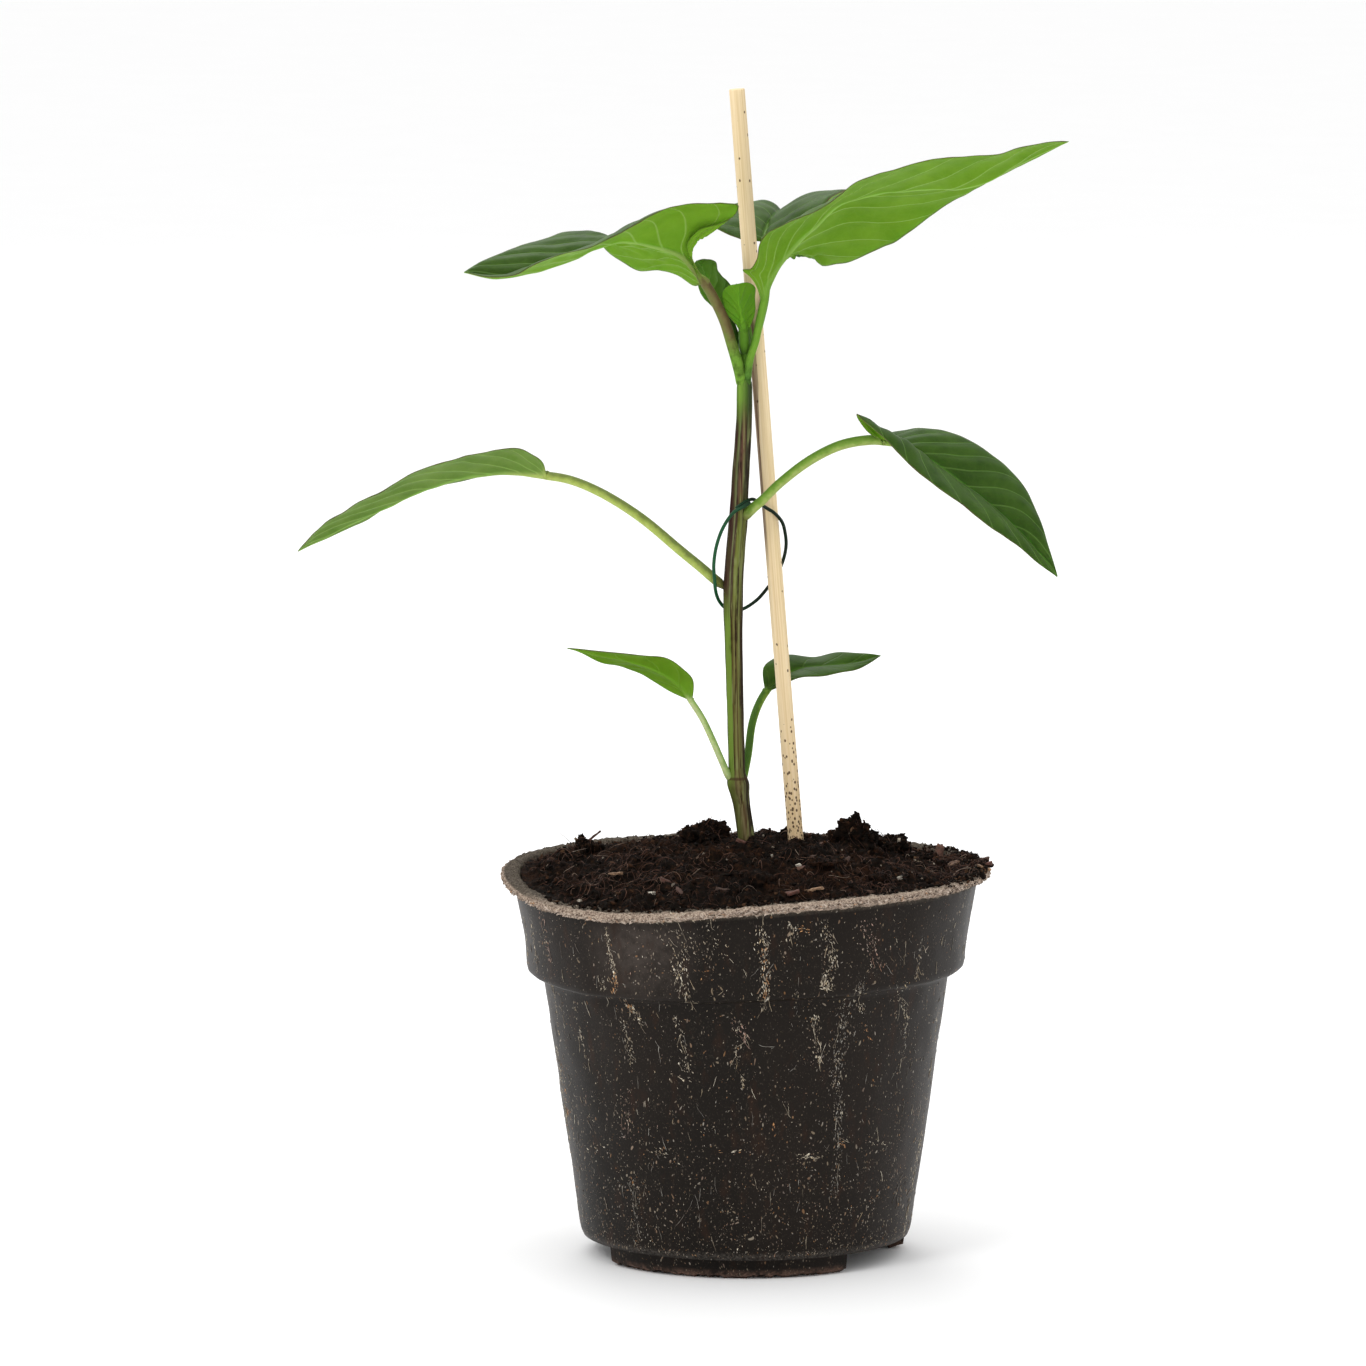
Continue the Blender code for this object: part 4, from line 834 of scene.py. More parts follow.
lines, radii = [], []
for number in range(FIBRES):
    if draw.random() < 0.5:
        cx, cy, spread = TANGLES[draw.integers(len(TANGLES))]
        x, y = cx + draw.normal() * spread * 0.6, cy + draw.normal() * spread * 0.6
    else:
        reach, angle = soil_reach * math.sqrt(draw.random()) * 0.95, draw.random() * 2 * math.pi
        x, y = reach * math.cos(angle), reach * math.sin(angle)
    heading, bend = draw.random() * 2 * math.pi, draw.normal() * 0.28
    length = 2.0 + 8 * draw.random() ** 2.4
    lift = 0.25 + 1.5 * draw.random() ** 3
    line = []
    for k in range(FIBRE_STEPS):
        far = math.hypot(x, y)
        limit = LIP_RADIUS + 0.8 if x > 52 else LIP_RADIUS - 1 if abs(x) > 47 else soil_reach - 0.6
        if far > limit:
            x, y = x * (limit - 0.1) / far, y * (limit - 0.1) / far
            heading += 2.0
        rise = lift * math.sin(math.pi * k / (FIBRE_STEPS - 1)) ** 0.7
        line.append((x, y, top_at(x, y) + 0.05 + rise))
        bend += draw.normal() * 0.14
        heading += bend
        x += length / FIBRE_STEPS * math.cos(heading)
        y += length / FIBRE_STEPS * math.sin(heading)
    line = np.array(line)
    for repeat in range(2):
        line[1:-1, 2] = (line[:-2, 2] + line[1:-1, 2] * 2 + line[2:, 2]) / 4
    lines.append(line)
    radii.append(0.04 + 0.07 * draw.random() ** 3)
for number in range(80):
    # short ends that stand up from the clods and along the lip
    if number < 40:
        (cx, cy), spread, rise = CLODS[number % 4]
        x, y = cx + draw.normal() * spread * 0.5, cy + draw.normal() * spread * 0.5
    else:
        angle = draw.random() * 2 * math.pi
        x, y = (soil_reach - 2 - 4 * draw.random()) * np.array((math.cos(angle), math.sin(angle)))
    start = np.array((x, y, top_at(x, y) - 0.4))
    aim = np.array((draw.normal() * 0.8, draw.normal() * 0.8, 0.9))
    curl = draw.normal(size=3) * 0.5
    share = np.linspace(0, 1, FIBRE_STEPS)[:, None]
    length = 0.7 + 2.0 * draw.random() ** 2
    lines.append(start + length * (aim * share + curl * share ** 2))
    radii.append(0.05 + 0.05 * draw.random())
threads = threads_piece("soil_fibres", lines, radii, draw.random(len(lines)))
coir, tree, shader, place = surface("coir", 0.75)
tint = node(tree, "Attribute", settings={"attribute_name": "tint"}).node.outputs["Fac"]
tone = ramp(tree, tint, (0.0, (0.012, 0.005, 0.003)), (0.4, (0.036, 0.013, 0.007)), (0.7, (0.095, 0.038, 0.021)),
            (0.88, (0.15, 0.075, 0.05)), (0.97, (0.22, 0.15, 0.11)), (1.0, (0.36, 0.28, 0.22)))
tone = mixed(tree, ramp(tree, grain(tree, place, 1.5, 3), (0.4, 0.0), (0.7, 0.8)), tone, (0.03, 0.012, 0.006))
join(tree, shader, Base_Color=tone)
shader.inputs["Specular IOR Level"].default_value = 0.25
finish(threads, coir, "soil")

# Bark chips
# A few splinters of bark and wood lie on the soil or stand in it: place, length, width, thickness,
# heading in degrees, tilt in degrees and tint.
CHIPS = [(16.3, -40, 6.0, 2.2, 0.7, -28, 14, 0.75), (11.5, -43, 3.2, 2.0, 0.8, 20, 10, 0.3),
         (33.5, 16, 5.2, 0.9, 0.6, 40, 24, 0.6), (29.9, 20, 3.6, 2.8, 0.9, 5, 12, 0.5),
         (29.7, -35.5, 3.6, 1.2, 0.6, -20, 8, 0.4), (49.5, 24.5, 5.8, 2.2, 1.4, 55, 64, 0.35),
         (52.5, 6, 4.0, 1.8, 0.7, 30, 18, 0.5), (-23.7, -36.5, 1.5, 1.3, 0.8, 10, 10, 1.0),
         (-42, -30, 1.4, 1.0, 0.6, 60, 10, 0.95), (27.3, 18, 1.8, 1.3, 0.8, 20, 10, 1.0),
         (38.7, -23, 1.2, 1.2, 0.8, 0, 20, 1.0), (13.2, -24.5, 1.2, 1.1, 0.8, 0, 20, 1.0),
         (6.5, -15, 1.1, 1.0, 0.8, 30, 10, 1.0), (-33, -21, 3.4, 1.2, 0.5, 0, 6, 0.7),
         (-40, 13, 7.5, 0.55, 0.45, 10, 38, 0.2), (-43.5, 13, 4.0, 0.6, 0.5, 185, 30, 0.1),
         (61, 1, 3.2, 1.1, 0.9, 8, 12, 0.3),
         (60.5, -6, 3.4, 0.7, 0.5, -20, -16, 0.75), (60.8, 4.5, 2.4, 0.9, 0.7, 30, 8, 0.15)]
for number in range(22):
    reach, angle = soil_reach * math.sqrt(draw.random()) * 0.88, draw.random() * 2 * math.pi
    CHIPS.append((reach * math.cos(angle), reach * math.sin(angle), draw.uniform(1.2, 4), draw.uniform(0.7, 1.8),
                  draw.uniform(0.4, 0.9), draw.uniform(0, 180), draw.uniform(0, 25), draw.uniform(0, 0.42)))
made = []
for x, y, length, width, thick, heading, tilt, tint in CHIPS:
    bpy.ops.object.select_all(action="DESELECT")
    bpy.ops.mesh.primitive_cube_add(size=MM)
    chip = bpy.context.object
    bpy.ops.object.mode_set(mode="EDIT")
    bpy.ops.mesh.subdivide(number_cuts=6)
    bpy.ops.object.mode_set(mode="OBJECT")
    form = spots(chip)
    form[:, 1] *= 1 - 0.75 * np.clip(form[:, 0] + 0.1, 0, 1) ** 1.3
    form *= (length, width, thick)
    ragged = np.array([noise.fractal(Vector((p[0] / 2 + 7 * x, p[1] * 1.4, p[2] * 1.4)), 1.0, 2.0, 3) for p in form])
    form += ragged[:, None] * np.sign(form) * (0.3, 0.28, 0.2)
    turn = Matrix.Rotation(math.radians(heading), 3, "Z") @ Matrix.Rotation(-math.radians(tilt), 3, "Y")
    move_to(chip, form @ np.array(turn).T + (x, y, top_at(x, y) + thick * 0.35))
    mark(chip, "tint", np.full(len(form), tint))
    made.append(chip)
bpy.ops.object.select_all(action="DESELECT")
for chip in made:
    chip.select_set(True)
bpy.context.view_layer.objects.active = made[0]
bpy.ops.object.join()
chips = bpy.context.object
chips.name = chips.data.name = "bark_chips"
splinter, tree, shader, place = surface("splinter", 0.8)
tint = node(tree, "Attribute", settings={"attribute_name": "tint"}).node.outputs["Fac"]
tone = ramp(tree, tint, (0.0, (0.03, 0.016, 0.01)), (0.3, (0.11, 0.035, 0.022)), (0.5, (0.15, 0.08, 0.045)),
            (0.75, (0.38, 0.23, 0.13)), (1.0, (0.6, 0.55, 0.46)))
tone = mixed(tree, ramp(tree, grain(tree, place, 0.9, 4, 0.6), (0.4, 0.0), (0.65, 0.75)), tone, (0.05, 0.028, 0.018))
join(tree, shader, Base_Color=tone, Normal=bumps(tree, grain(tree, place, 0.5, 3), 0.2))
finish(chips, splinter, "soil")

# Stem
# The plant's own stem: round with low ridges, green where it is young, purple-brown in stripes where
# the bark has begun to form, and swollen at the nodes where the leaf stalks leave it.
STEM_LINE = [(1.6, 0, 78), (1.4, 0, 88), (0.6, 0, 101), (-0.1, 0, 107.5), (-1.2, 0, 114.8), (-2.1, 0, 120),
             (-2.4, 0, 124), (-2.75, 0, 137), (-3.05, 0, 148), (-3.3, 0, 159), (-3.4, 0, 167.5),
             (-3.2, 0, 174), (-2.7, 0, 180.7), (-2.1, 0, 188), (-1.5, 0, 199), (-0.9, 0, 208),
             (-0.6, 0, 214), (-0.5, 0, 224.5)]
STEM_GIRTH = [(78, 2.3), (105, 2.2), (114.8, 2.15), (118, 2.5), (119.3, 2.8), (120.5, 2.85), (121.6, 2.5),
              (123, 2.08), (137, 2.1), (159, 2.27), (164, 2.45), (168, 2.5), (174, 2.45), (181, 2.4),
              (187, 2.4), (190, 2.35), (194, 2.2), (200, 2.15), (213, 2.0), (222, 1.95), (223.5, 1.6),
              (224.5, 1.1)]
STEM_RIDGES = 5
RIDGE_DEPTH = 0.06
STEM_SIDES = 60
STEM_STEP = 0.6
SPLINE_SAMPLES = 24


def smooth_line(points):
    """A curve through the points: centripetal Catmull-Rom, finely sampled."""
    knots = np.array(points, float)
    knots = np.vstack([2 * knots[0] - knots[1], knots, 2 * knots[-1] - knots[-2]])
    line = []
    for a, b, c, d in zip(knots[:-3], knots[1:-2], knots[2:-1], knots[3:]):
        t1 = math.sqrt(np.linalg.norm(b - a))
        t2 = t1 + math.sqrt(np.linalg.norm(c - b))
        t3 = t2 + math.sqrt(np.linalg.norm(d - c))
        for t in np.linspace(t1, t2, SPLINE_SAMPLES, endpoint=False):
            ab = a + (b - a) * t / t1
            bc = b + (c - b) * (t - t1) / (t2 - t1)
            cd = c + (d - c) * (t - t2) / (t3 - t2)
            abc = ab + (bc - ab) * t / t2
            bcd = bc + (cd - bc) * (t - t1) / (t3 - t1)
            line.append(abc + (bcd - abc) * (t - t1) / (t2 - t1))
    line.append(knots[-2])
    return np.array(line)


def lengths_along(line):
    return np.concatenate([[0], np.cumsum(np.linalg.norm(np.diff(line, axis=0), axis=1))])


def points_at(line, distances):
    """The points of a line at these distances from its start."""
    travelled = lengths_along(line)
    return np.column_stack([np.interp(distances, travelled, line[:, k]) for k in range(3)])


def skin(name, rings, **marks):
    """A closed body through rings of points: a grid is rolled up along them, welded and capped."""
    rows, count = len(rings), len(rings[0])
    bpy.ops.object.select_all(action="DESELECT")
    bpy.ops.mesh.primitive_grid_add(x_subdivisions=count, y_subdivisions=rows - 1, size=1)
    body = bpy.context.object
    body.name = body.data.name = name
    rings = np.asarray(rings)
    move_to(body, np.concatenate([rings, rings[:, :1]], axis=1).reshape(-1, 3))
    for word, values in marks.items():
        values = np.asarray(values, float)
        mark(body, word, np.concatenate([values, values[:, :1]], axis=1))
    bpy.ops.object.mode_set(mode="EDIT")
    bpy.ops.mesh.select_mode(type="VERT")
    bpy.ops.mesh.select_all(action="SELECT")
    bpy.ops.mesh.remove_doubles(threshold=WELD)
    bpy.ops.mesh.select_all(action="SELECT")
    bpy.ops.mesh.fill_holes(sides=0)
    bpy.ops.mesh.select_all(action="SELECT")
    bpy.ops.mesh.normals_make_consistent(inside=False)
    bpy.ops.object.mode_set(mode="OBJECT")
    return body


line = smooth_line(STEM_LINE)
heights = np.arange(STEM_LINE[0][2], STEM_LINE[-1][2], STEM_STEP)
girths = np.interp(heights, *np.array(STEM_GIRTH).T)
girths = np.convolve(np.pad(girths, 1, mode="edge"), np.ones(3) / 3, mode="valid")
turns = np.arange(STEM_SIDES) * 2 * math.pi / STEM_SIDES
rings = []
for height, girth in zip(heights, girths):
    centre = np.array([np.interp(height, line[:, 2], line[:, k]) for k in (0, 1)] + [height])
    ridges = RIDGE_DEPTH * np.cos(STEM_RIDGES * turns + 0.004 * (height - 150))
    ripple = [0.05 * noise.noise(Vector((3 * math.cos(t), 3 * math.sin(t), height / 6))) for t in turns]
    radii = girth * (1 + ridges + ripple)
    rings.append(centre + np.column_stack([radii * np.cos(turns), radii * np.sin(turns), 0 * turns]))
stem = skin("stem_body", rings, east=np.tile(np.cos(turns), (len(rings), 1)))
bark, tree, shader, place = surface("young_bark", 0.5)
height = node(tree, "SeparateXYZ", place).node.outputs["Z"]
streak = grain(tree, place, 1.1, 3, 0.6, stretch=(1, 1, 0.035))
sway = sums(tree, "MULTIPLY_ADD", grain(tree, place, 5, 2, stretch=(1, 1, 0.12)), 0.24, -0.12)
side = node(tree, "Attribute", settings={"attribute_name": "east"}).node.outputs["Fac"]
side = sums(tree, "MULTIPLY_ADD", sums(tree, "ADD", side, sway), 0.5, 0.5)
# Painted shade: the looks below run round the stem from its west side (0) to its east side (1). Besides the real
# stripes of green, plum and olive, they paint the stem dark along both sides and darker towards the east.
plum, olive, leafy, dark = (0.03, 0.008, 0.009), (0.125, 0.14, 0.022), (0.135, 0.215, 0.03), (0.016, 0.010, 0.005)
young_look = ramp(tree, side, (0.0, (0.05, 0.1, 0.015)), (0.2, (0.15, 0.27, 0.035)), (0.55, (0.08, 0.16, 0.022)),
                  (0.8, (0.03, 0.06, 0.012)), (1.0, (0.02, 0.035, 0.01)))
upper_look = ramp(tree, side, (0.0, dark), (0.16, plum), (0.25, (0.08, 0.09, 0.03)), (0.31, (0.13, 0.145, 0.06)),
                  (0.36, (0.06, 0.05, 0.025)), (0.5, (0.105, 0.047, 0.033)), (0.66, (0.085, 0.042, 0.028)),
                  (0.76, (0.05, 0.05, 0.022)), (0.9, dark), (1.0, dark))
ring_look = ramp(tree, side, (0.0, dark), (0.12, plum), (0.26, (0.05, 0.018, 0.018)), (0.33, (0.17, 0.19, 0.08)),
                 (0.38, (0.06, 0.035, 0.025)), (0.46, (0.05, 0.028, 0.02)), (0.54, olive), (0.7, (0.16, 0.19, 0.05)),
                 (0.77, (0.07, 0.06, 0.025)), (0.84, olive), (1.0, (0.05, 0.04, 0.02)))
lower_look = ramp(tree, side, (0.0, (0.02, 0.02, 0.006)), (0.06, (0.05, 0.08, 0.012)), (0.12, leafy), (0.34, leafy),
                  (0.39, (0.035, 0.010, 0.006)), (0.45, (0.10, 0.085, 0.02)), (0.56, (0.17, 0.165, 0.05)),
                  (0.62, (0.06, 0.03, 0.012)), (0.7, (0.15, 0.15, 0.04)), (0.86, (0.11, 0.11, 0.03)),
                  (0.94, (0.05, 0.035, 0.012)), (1.0, dark))
foot_look = ramp(tree, side, (0.0, (0.025, 0.026, 0.007)), (0.18, (0.06, 0.06, 0.015)), (0.36, (0.085, 0.07, 0.025)),
                 (0.5, (0.15, 0.115, 0.055)), (0.6, (0.07, 0.04, 0.016)), (0.74, (0.12, 0.09, 0.045)), (0.84, dark),
                 (1.0, dark))
look = foot_look
for level, next_look in ((0.1212, lower_look), (0.1655, ring_look), (0.1915, upper_look), (0.2145, young_look)):
    fade = node(tree, "MapRange", height, level - 0.003, level + 0.004, 0.0, 1.0)
    fade = sums(tree, "MULTIPLY_ADD", sums(tree, "SUBTRACT", streak, 0.5), 1.2, fade, clamp=True)
    share = node(tree, "MapRange", height, level - 0.005, level + 0.006, 0.0, 1.0)
    look = mixed(tree, sums(tree, "MULTIPLY", sums(tree, "ADD", fade, share), 0.5, clamp=True), look, next_look)
hairs = grain(tree, place, 0.65, 3, 0.65, stretch=(1, 1, 0.02))
barky = sums(tree, "MULTIPLY", ramp(tree, grain(tree, place, 4, 2), (0.4, 0.25), (0.6, 1.0)),
             ramp(tree, side, (0.25, 0.3), (0.45, 1.0)))
barky = sums(tree, "MULTIPLY", barky, node(tree, "MapRange", height, 0.208, 0.216, 1.0, 0.3))
look = mixed(tree, sums(tree, "MULTIPLY", barky, ramp(tree, hairs, (0.43, 0.9), (0.485, 0.0))), look,
             (0.018, 0.008, 0.004))
look = mixed(tree, sums(tree, "MULTIPLY", barky, ramp(tree, hairs, (0.525, 0.0), (0.58, 0.7))), look,
             (0.20, 0.22, 0.08))
scar = node(tree, "MapRange", sums(tree, "ABSOLUTE", sums(tree, "SUBTRACT", height, 0.1217)), 0.0002, 0.0005, 0.7, 0.0)
look = mixed(tree, scar, look, (0.04, 0.016, 0.008))
join(tree, shader, Base_Color=look, Normal=bumps(tree, streak, 0.2))
shader.inputs["Specular IOR Level"].default_value = 0.06
finish(stem, bark, "stem_bark", "stem")

# Leaves
# Each leaf is one blade on its own stalk, which runs on as the rib. The blade puffs up between its
# side veins, is dark and satin above, and pale with raised veins below.
BLADE_THICKNESS = 0.4
MARGIN_THICKNESS = 0.16
LEAF_COLUMNS = 48
TIP_HALF_WIDTH = 0.35
RIB_TAPER = 3
RING_CROWDING = 1.15
BELLY_FADE = 0.6
WAVE_FADE = 0.5
WAVE_TURNS = 3
WAVE_PHASES = {-1: 0.7, 1: 2.9}
HEADING_STEP = 0.8
RING_STEP = 0.55
STALK_SUNK = 0.35
STALK_OUT = 4.5

LEAVES = {
    "seed_leaf_left": dict(
        stalk=[(-2.8, -0.3, 119.2), (-4.2, -1, 121.8), (-6.2, -2.2, 126.5), (-8.6, -4, 132.3),
               (-11, -5, 137.5), (-14, -7, 142.5)],
        rib=[(-14, -7, 142.5), (-16.5, -8, 146), (-22.5, -11, 150.5), (-30, -14, 153.5),
             (-38, -17, 155.5), (-45, -19, 157.5)],
        left=[(-13.5, -11, 148.5), (-16.5, -14, 152), (-20.5, -16, 154.5), (-25, -18, 155.5),
              (-32, -19, 156), (-40, -19, 157)],
        right=[(-20, -5, 145), (-23.5, -5, 147), (-27, -6, 149.5), (-30.5, -8, 151), (-35.5, -12, 152.5),
               (-41, -16, 155.5)],
        radius=(1.1, 0.85, 0.8), foot_reach=(1.5, 5), run_on=0.1, belly=0.4, wave=0.2, veins=5, quilt=0.15,
        stalk_look=((0.16, 0.28, 0.06), (0.3, 0.42, 0.13), (0.5, 0.58, 0.27), (0.2, 0.26, 0.09))),
    "seed_leaf_right": dict(
        stalk=[(-2, 0, 118), (-0.8, 2.5, 121), (0.5, 6, 126.5), (1.6, 10, 134), (3.2, 13, 138.5),
               (5.3, 14, 142)],
        rib=[(5.3, 14, 142), (8.5, 15, 145), (14, 17, 147.5), (21.5, 19, 148), (28.5, 21, 148.5),
             (34.5, 23, 150)],
        left=[(4.5, 17, 147.5), (7, 20, 149.5), (11.5, 23, 150), (18, 25, 149.5), (24, 24.5, 150.5),
              (30.5, 23.5, 150.5)],
        right=[(11.5, 11, 145), (14.5, 10.5, 146), (21, 12, 146.5), (26.5, 15, 147), (32, 20, 148.5)],
        radius=(1.2, 1.0, 1.0), foot_reach=(1.5, 5), run_on=0.1, belly=0.4, wave=0.2, veins=5, quilt=0.15,
        stalk_look=((0.06, 0.13, 0.02), (0.13, 0.24, 0.03), (0.25, 0.36, 0.08), (0.1, 0.16, 0.02))),
    "leaf_middle_left": dict(
        stalk=[(-4, 0, 169.3), (-5.7, 0.2, 170.8), (-7.5, 0.5, 172.1), (-11.5, 1, 175.5),
               (-16.5, 2, 179.5), (-27, 4, 188), (-37, 6, 194), (-44.5, 7, 197), (-50.5, 8, 198)],
        rib=[(-50.5, 8, 198), (-57.5, 9, 198.5), (-67.5, 10, 198), (-80, 11, 194.5), (-93, 12, 188.6),
             (-104.5, 13, 182.9), (-114, 14, 178)],
        left=[(-51.3, 5, 201.3), (-52.4, 3.5, 202.9), (-54, 2, 204.1), (-56.8, 0.5, 205.5), (-59.6, -1, 206),
              (-63.1, -2, 205.9), (-69.9, -3, 204.5), (-77.9, -3, 202.2), (-85.9, -2.5, 198.8),
              (-93.9, -1, 194.2), (-100.4, 1, 190.3), (-108.2, 6, 184.9)],
        right=[(-53.5, 17, 197.6), (-58.5, 20, 197.1), (-66, 24, 196.2), (-74, 25.5, 194.6), (-82, 25, 192.5),
               (-90, 23, 189), (-97.5, 20, 185), (-106, 16, 181.3)],
        radius=(1.3, 1.25, 1.1), foot_reach=(1, 7), belly=1.0, wave=0.1, veins=8, quilt=0.5, sweep=0.4,
        lower=((0.105, 0.2, 0.03), (0.165, 0.27, 0.055)),
        stalk_look=((0.15, 0.19, 0.05), (0.30, 0.37, 0.08), (0.42, 0.50, 0.14), (0.065, 0.06, 0.014))),
    "leaf_middle_right": dict(
        stalk=[(-2.1, 0.6, 186.2), (-1.3, 0.1, 187.8), (0.2, -1.1, 189.4), (1.8, -2, 191.0), (4, -3, 193), (8.5, -4, 197.5), (16, -6, 203.5),
               (23.5, -8, 207.5), (30, -9.5, 209), (34.5, -10, 209)],
        rib=[(34.5, -10, 209), (42.4, -12, 206.4), (48, -13, 203), (56.2, -15, 197), (62.8, -17, 191.9),
             (70.5, -19, 184.9), (78, -22, 176)],
        left=[(34, -5, 209.5), (36.5, -1, 210), (39.5, 0, 210.5), (44, 0, 211), (49.5, 0, 210.5),
              (55, -1, 208.5), (61, -3, 205.5), (66, -4.5, 201.5), (70, -7.5, 197), (73.5, -13, 190),
              (76, -18, 183)],
        right=[(30.5, -13, 211.5), (27.5, -14, 216), (29.5, -17, 214.5), (34.9, -20, 210.3),
               (39.4, -23, 206), (44.9, -26, 201.6), (50.4, -28, 197.1), (55.8, -29, 193.4),
               (61.4, -29, 189.2), (66.9, -27, 185.2), (72.6, -24, 179.9)],
        radius=(1.5, 1.15, 1.3), out=4, foot_reach=(2.5, 4.5), belly=1.2, wave=0.15, veins=8, quilt=0.5, sweep=0.38,
        stalk_look=((0.09, 0.18, 0.02), (0.16, 0.27, 0.04), (0.33, 0.42, 0.12), (0.08, 0.085, 0.02))),
    "leaf_top_left": dict(
        stalk=[(-0.55, 0, 218.8), (-0.95, -0.1, 221.4), (-1.5, -0.6, 224.6), (-2.4, -1.3, 228.2), (-3.8, -2.3, 233), (-5.5, -3.5, 238.5),
               (-8, -5, 244), (-10.5, -7, 248.5)],
        rib=[(-10.5, -7, 248.5), (-13.5, -8, 252.5), (-17.5, -9, 256), (-25, -11, 258.5),
             (-32, -14, 259.5), (-38, -17, 258), (-43.5, -19, 255.5), (-53.5, -23, 252.5),
             (-62.5, -27, 251.5), (-70.5, -30, 253.5)],
        left=[(-13.5, -9, 254), (-15, -10, 258.5), (-12.5, -11, 262), (-10.5, -11, 263),
              (-6.5, -11, 264), (-3, -10.5, 266), (-2, -11, 268.5), (-6, -14, 269.5), (-10, -17, 269.5),
              (-16, -22, 269.5), (-21.5, -26, 268.5), (-29, -30, 264.5), (-36.5, -33, 261),
              (-45.5, -35, 258.5), (-51.5, -36, 256.5), (-57.5, -35.5, 253.5), (-64, -33.5, 252.5)],
        right=[(-13, -4, 247.5), (-17.5, 0, 250), (-22, 2, 251), (-27, 3.5, 250.5), (-31, 2, 253),
               (-35, 0.5, 256), (-39, -1, 260), (-43, -2.5, 261), (-48, -6, 260.5), (-52.5, -9.5, 259.5),
               (-57, -13.5, 258.5), (-61, -18, 257.5), (-65.5, -23, 256)],
        radius=(1.5, 1.45, 1.25), out=4.5, belly=0.8, wave=0.0, veins=8, quilt=0.45, sweep=0.42, turned=-0.3,
        pale_base=0.24, foot_reach=(10, 9),
        crumples=[(0.3, 0.5, 0.18, 0.35, 0.8, 10, 2.2)],
        lower=((0.12, 0.27, 0.0105), (0.172, 0.34, 0.021)),
        stalk_look=((0.10, 0.07, 0.028), (0.16, 0.135, 0.05), (0.15, 0.19, 0.045), (0.11, 0.22, 0.025))),
    "leaf_top_right": dict(
        stalk=[(-0.5, 0, 218.8), (-0.1, -0.3, 221.6), (0.35, -0.8, 224.6), (0.75, -1.5, 228.2), (1.5, -2.1, 230.9),
               (2.25, -2.7, 233.3), (3.35, -3.4, 238.6), (4.5, -4.5, 244)],
        rib=[(4.5, -4.5, 244), (5.5, -6, 248), (9, -8, 254), (16, -11, 262), (23.5, -14, 269),
             (33, -18, 272), (45.5, -23, 273.5), (57.5, -28, 275), (69, -34, 281.5), (79.5, -40, 287)],
        left=[(6, -4, 247.5), (8.5, -3, 252.5), (10, -1, 254.5), (13, 2, 254.5), (16, 4, 254),
              (19, 5, 252), (22.5, 5, 252), (25.5, 4, 252.5), (30, 2, 254.5), (34.5, 0, 257),
              (37.5, -2, 258.5), (44, -5, 263.5), (52.5, -11, 270), (60.5, -18, 275), (69.5, -28, 280.5)],
        right=[(2.5, -6, 247.5), (1, -7, 250), (-1, -9, 252), (1, -11, 252.5), (2.5, -13, 255),
               (3, -15, 258.5), (4.5, -18, 261.5), (9.5, -23, 265), (16, -28, 268), (22, -32, 272),
               (26.5, -35, 276), (32.5, -37, 278.5), (44.5, -39, 282), (52.5, -42, 283.5),
               (61, -43.5, 284), (66.5, -44, 285.5), (75, -42.5, 287)],
        radius=(1.3, 1.0, 1.0), out=4.5, foot_reach=(5, 7), belly=1.0, wave=0.0, veins=8, quilt=0.45, sweep=0.4,
        crumples=[(0.17, -0.7, 0.08, 0.35, 1.6, 3, 3)], shadows=[(0.15, -0.9, 0.05, 0.3, 1.4)],
        upper=((0.03, 0.07, 0.008), (0.055, 0.11, 0.014)),
        stalk_look=((0.05, 0.12, 0.012), (0.10, 0.22, 0.02), (0.14, 0.29, 0.03), (0.06, 0.14, 0.02))),
    "leaf_top_back": dict(
        stalk=[(-0.5, 0.2, 219), (-0.3, 0.5, 221.6), (0.2, 1.3, 224.6), (1, 2.3, 228.5), (1.9, 2.9, 232), (2.7, 3, 234.5), (3.9, 3.2, 239),
               (4.8, 4.8, 243), (5.2, 7.5, 247), (5.1, 12, 252), (4.5, 16, 257)],
        rib=[(4.5, 16, 257), (5.5, 26, 260), (8, 40, 262), (9.5, 55, 261), (11, 70, 257.5)],
        left=[(-0.5, 13, 257.5), (-6, 16, 259.5), (-10, 22, 261.5), (-10, 30, 263), (-6, 40, 263.5),
              (0, 50, 263), (6, 62, 260.5)],
        right=[(8, 12, 257.5), (13.5, 13, 258.5), (18.5, 18, 263.5), (22, 25, 267.5), (25.5, 33, 268.5),
               (25.5, 41, 267), (22, 52, 264), (16, 63, 260)],
        radius=(1.2, 0.95, 0.9), out=4.5, foot_reach=(5, 7), belly=1.5, wave=0.0, veins=7, quilt=0.5,
        stalk_look=((0.05, 0.12, 0.012), (0.10, 0.22, 0.02), (0.14, 0.29, 0.03), (0.06, 0.14, 0.02))),
}


def unit(vectors):
    return vectors / np.linalg.norm(vectors, axis=-1, keepdims=True)


def eased(share):
    share = np.clip(share, 0, 1)
    return share * share * (3 - 2 * share)


def blade_normals(sheet, first):
    """Which way the upper face looks at each point of a blade."""
    normals = unit(np.cross(np.gradient(sheet, axis=1), np.gradient(sheet, axis=0)))
    normals[0] = first
    normals[-1] = normals[-2]
    return normals


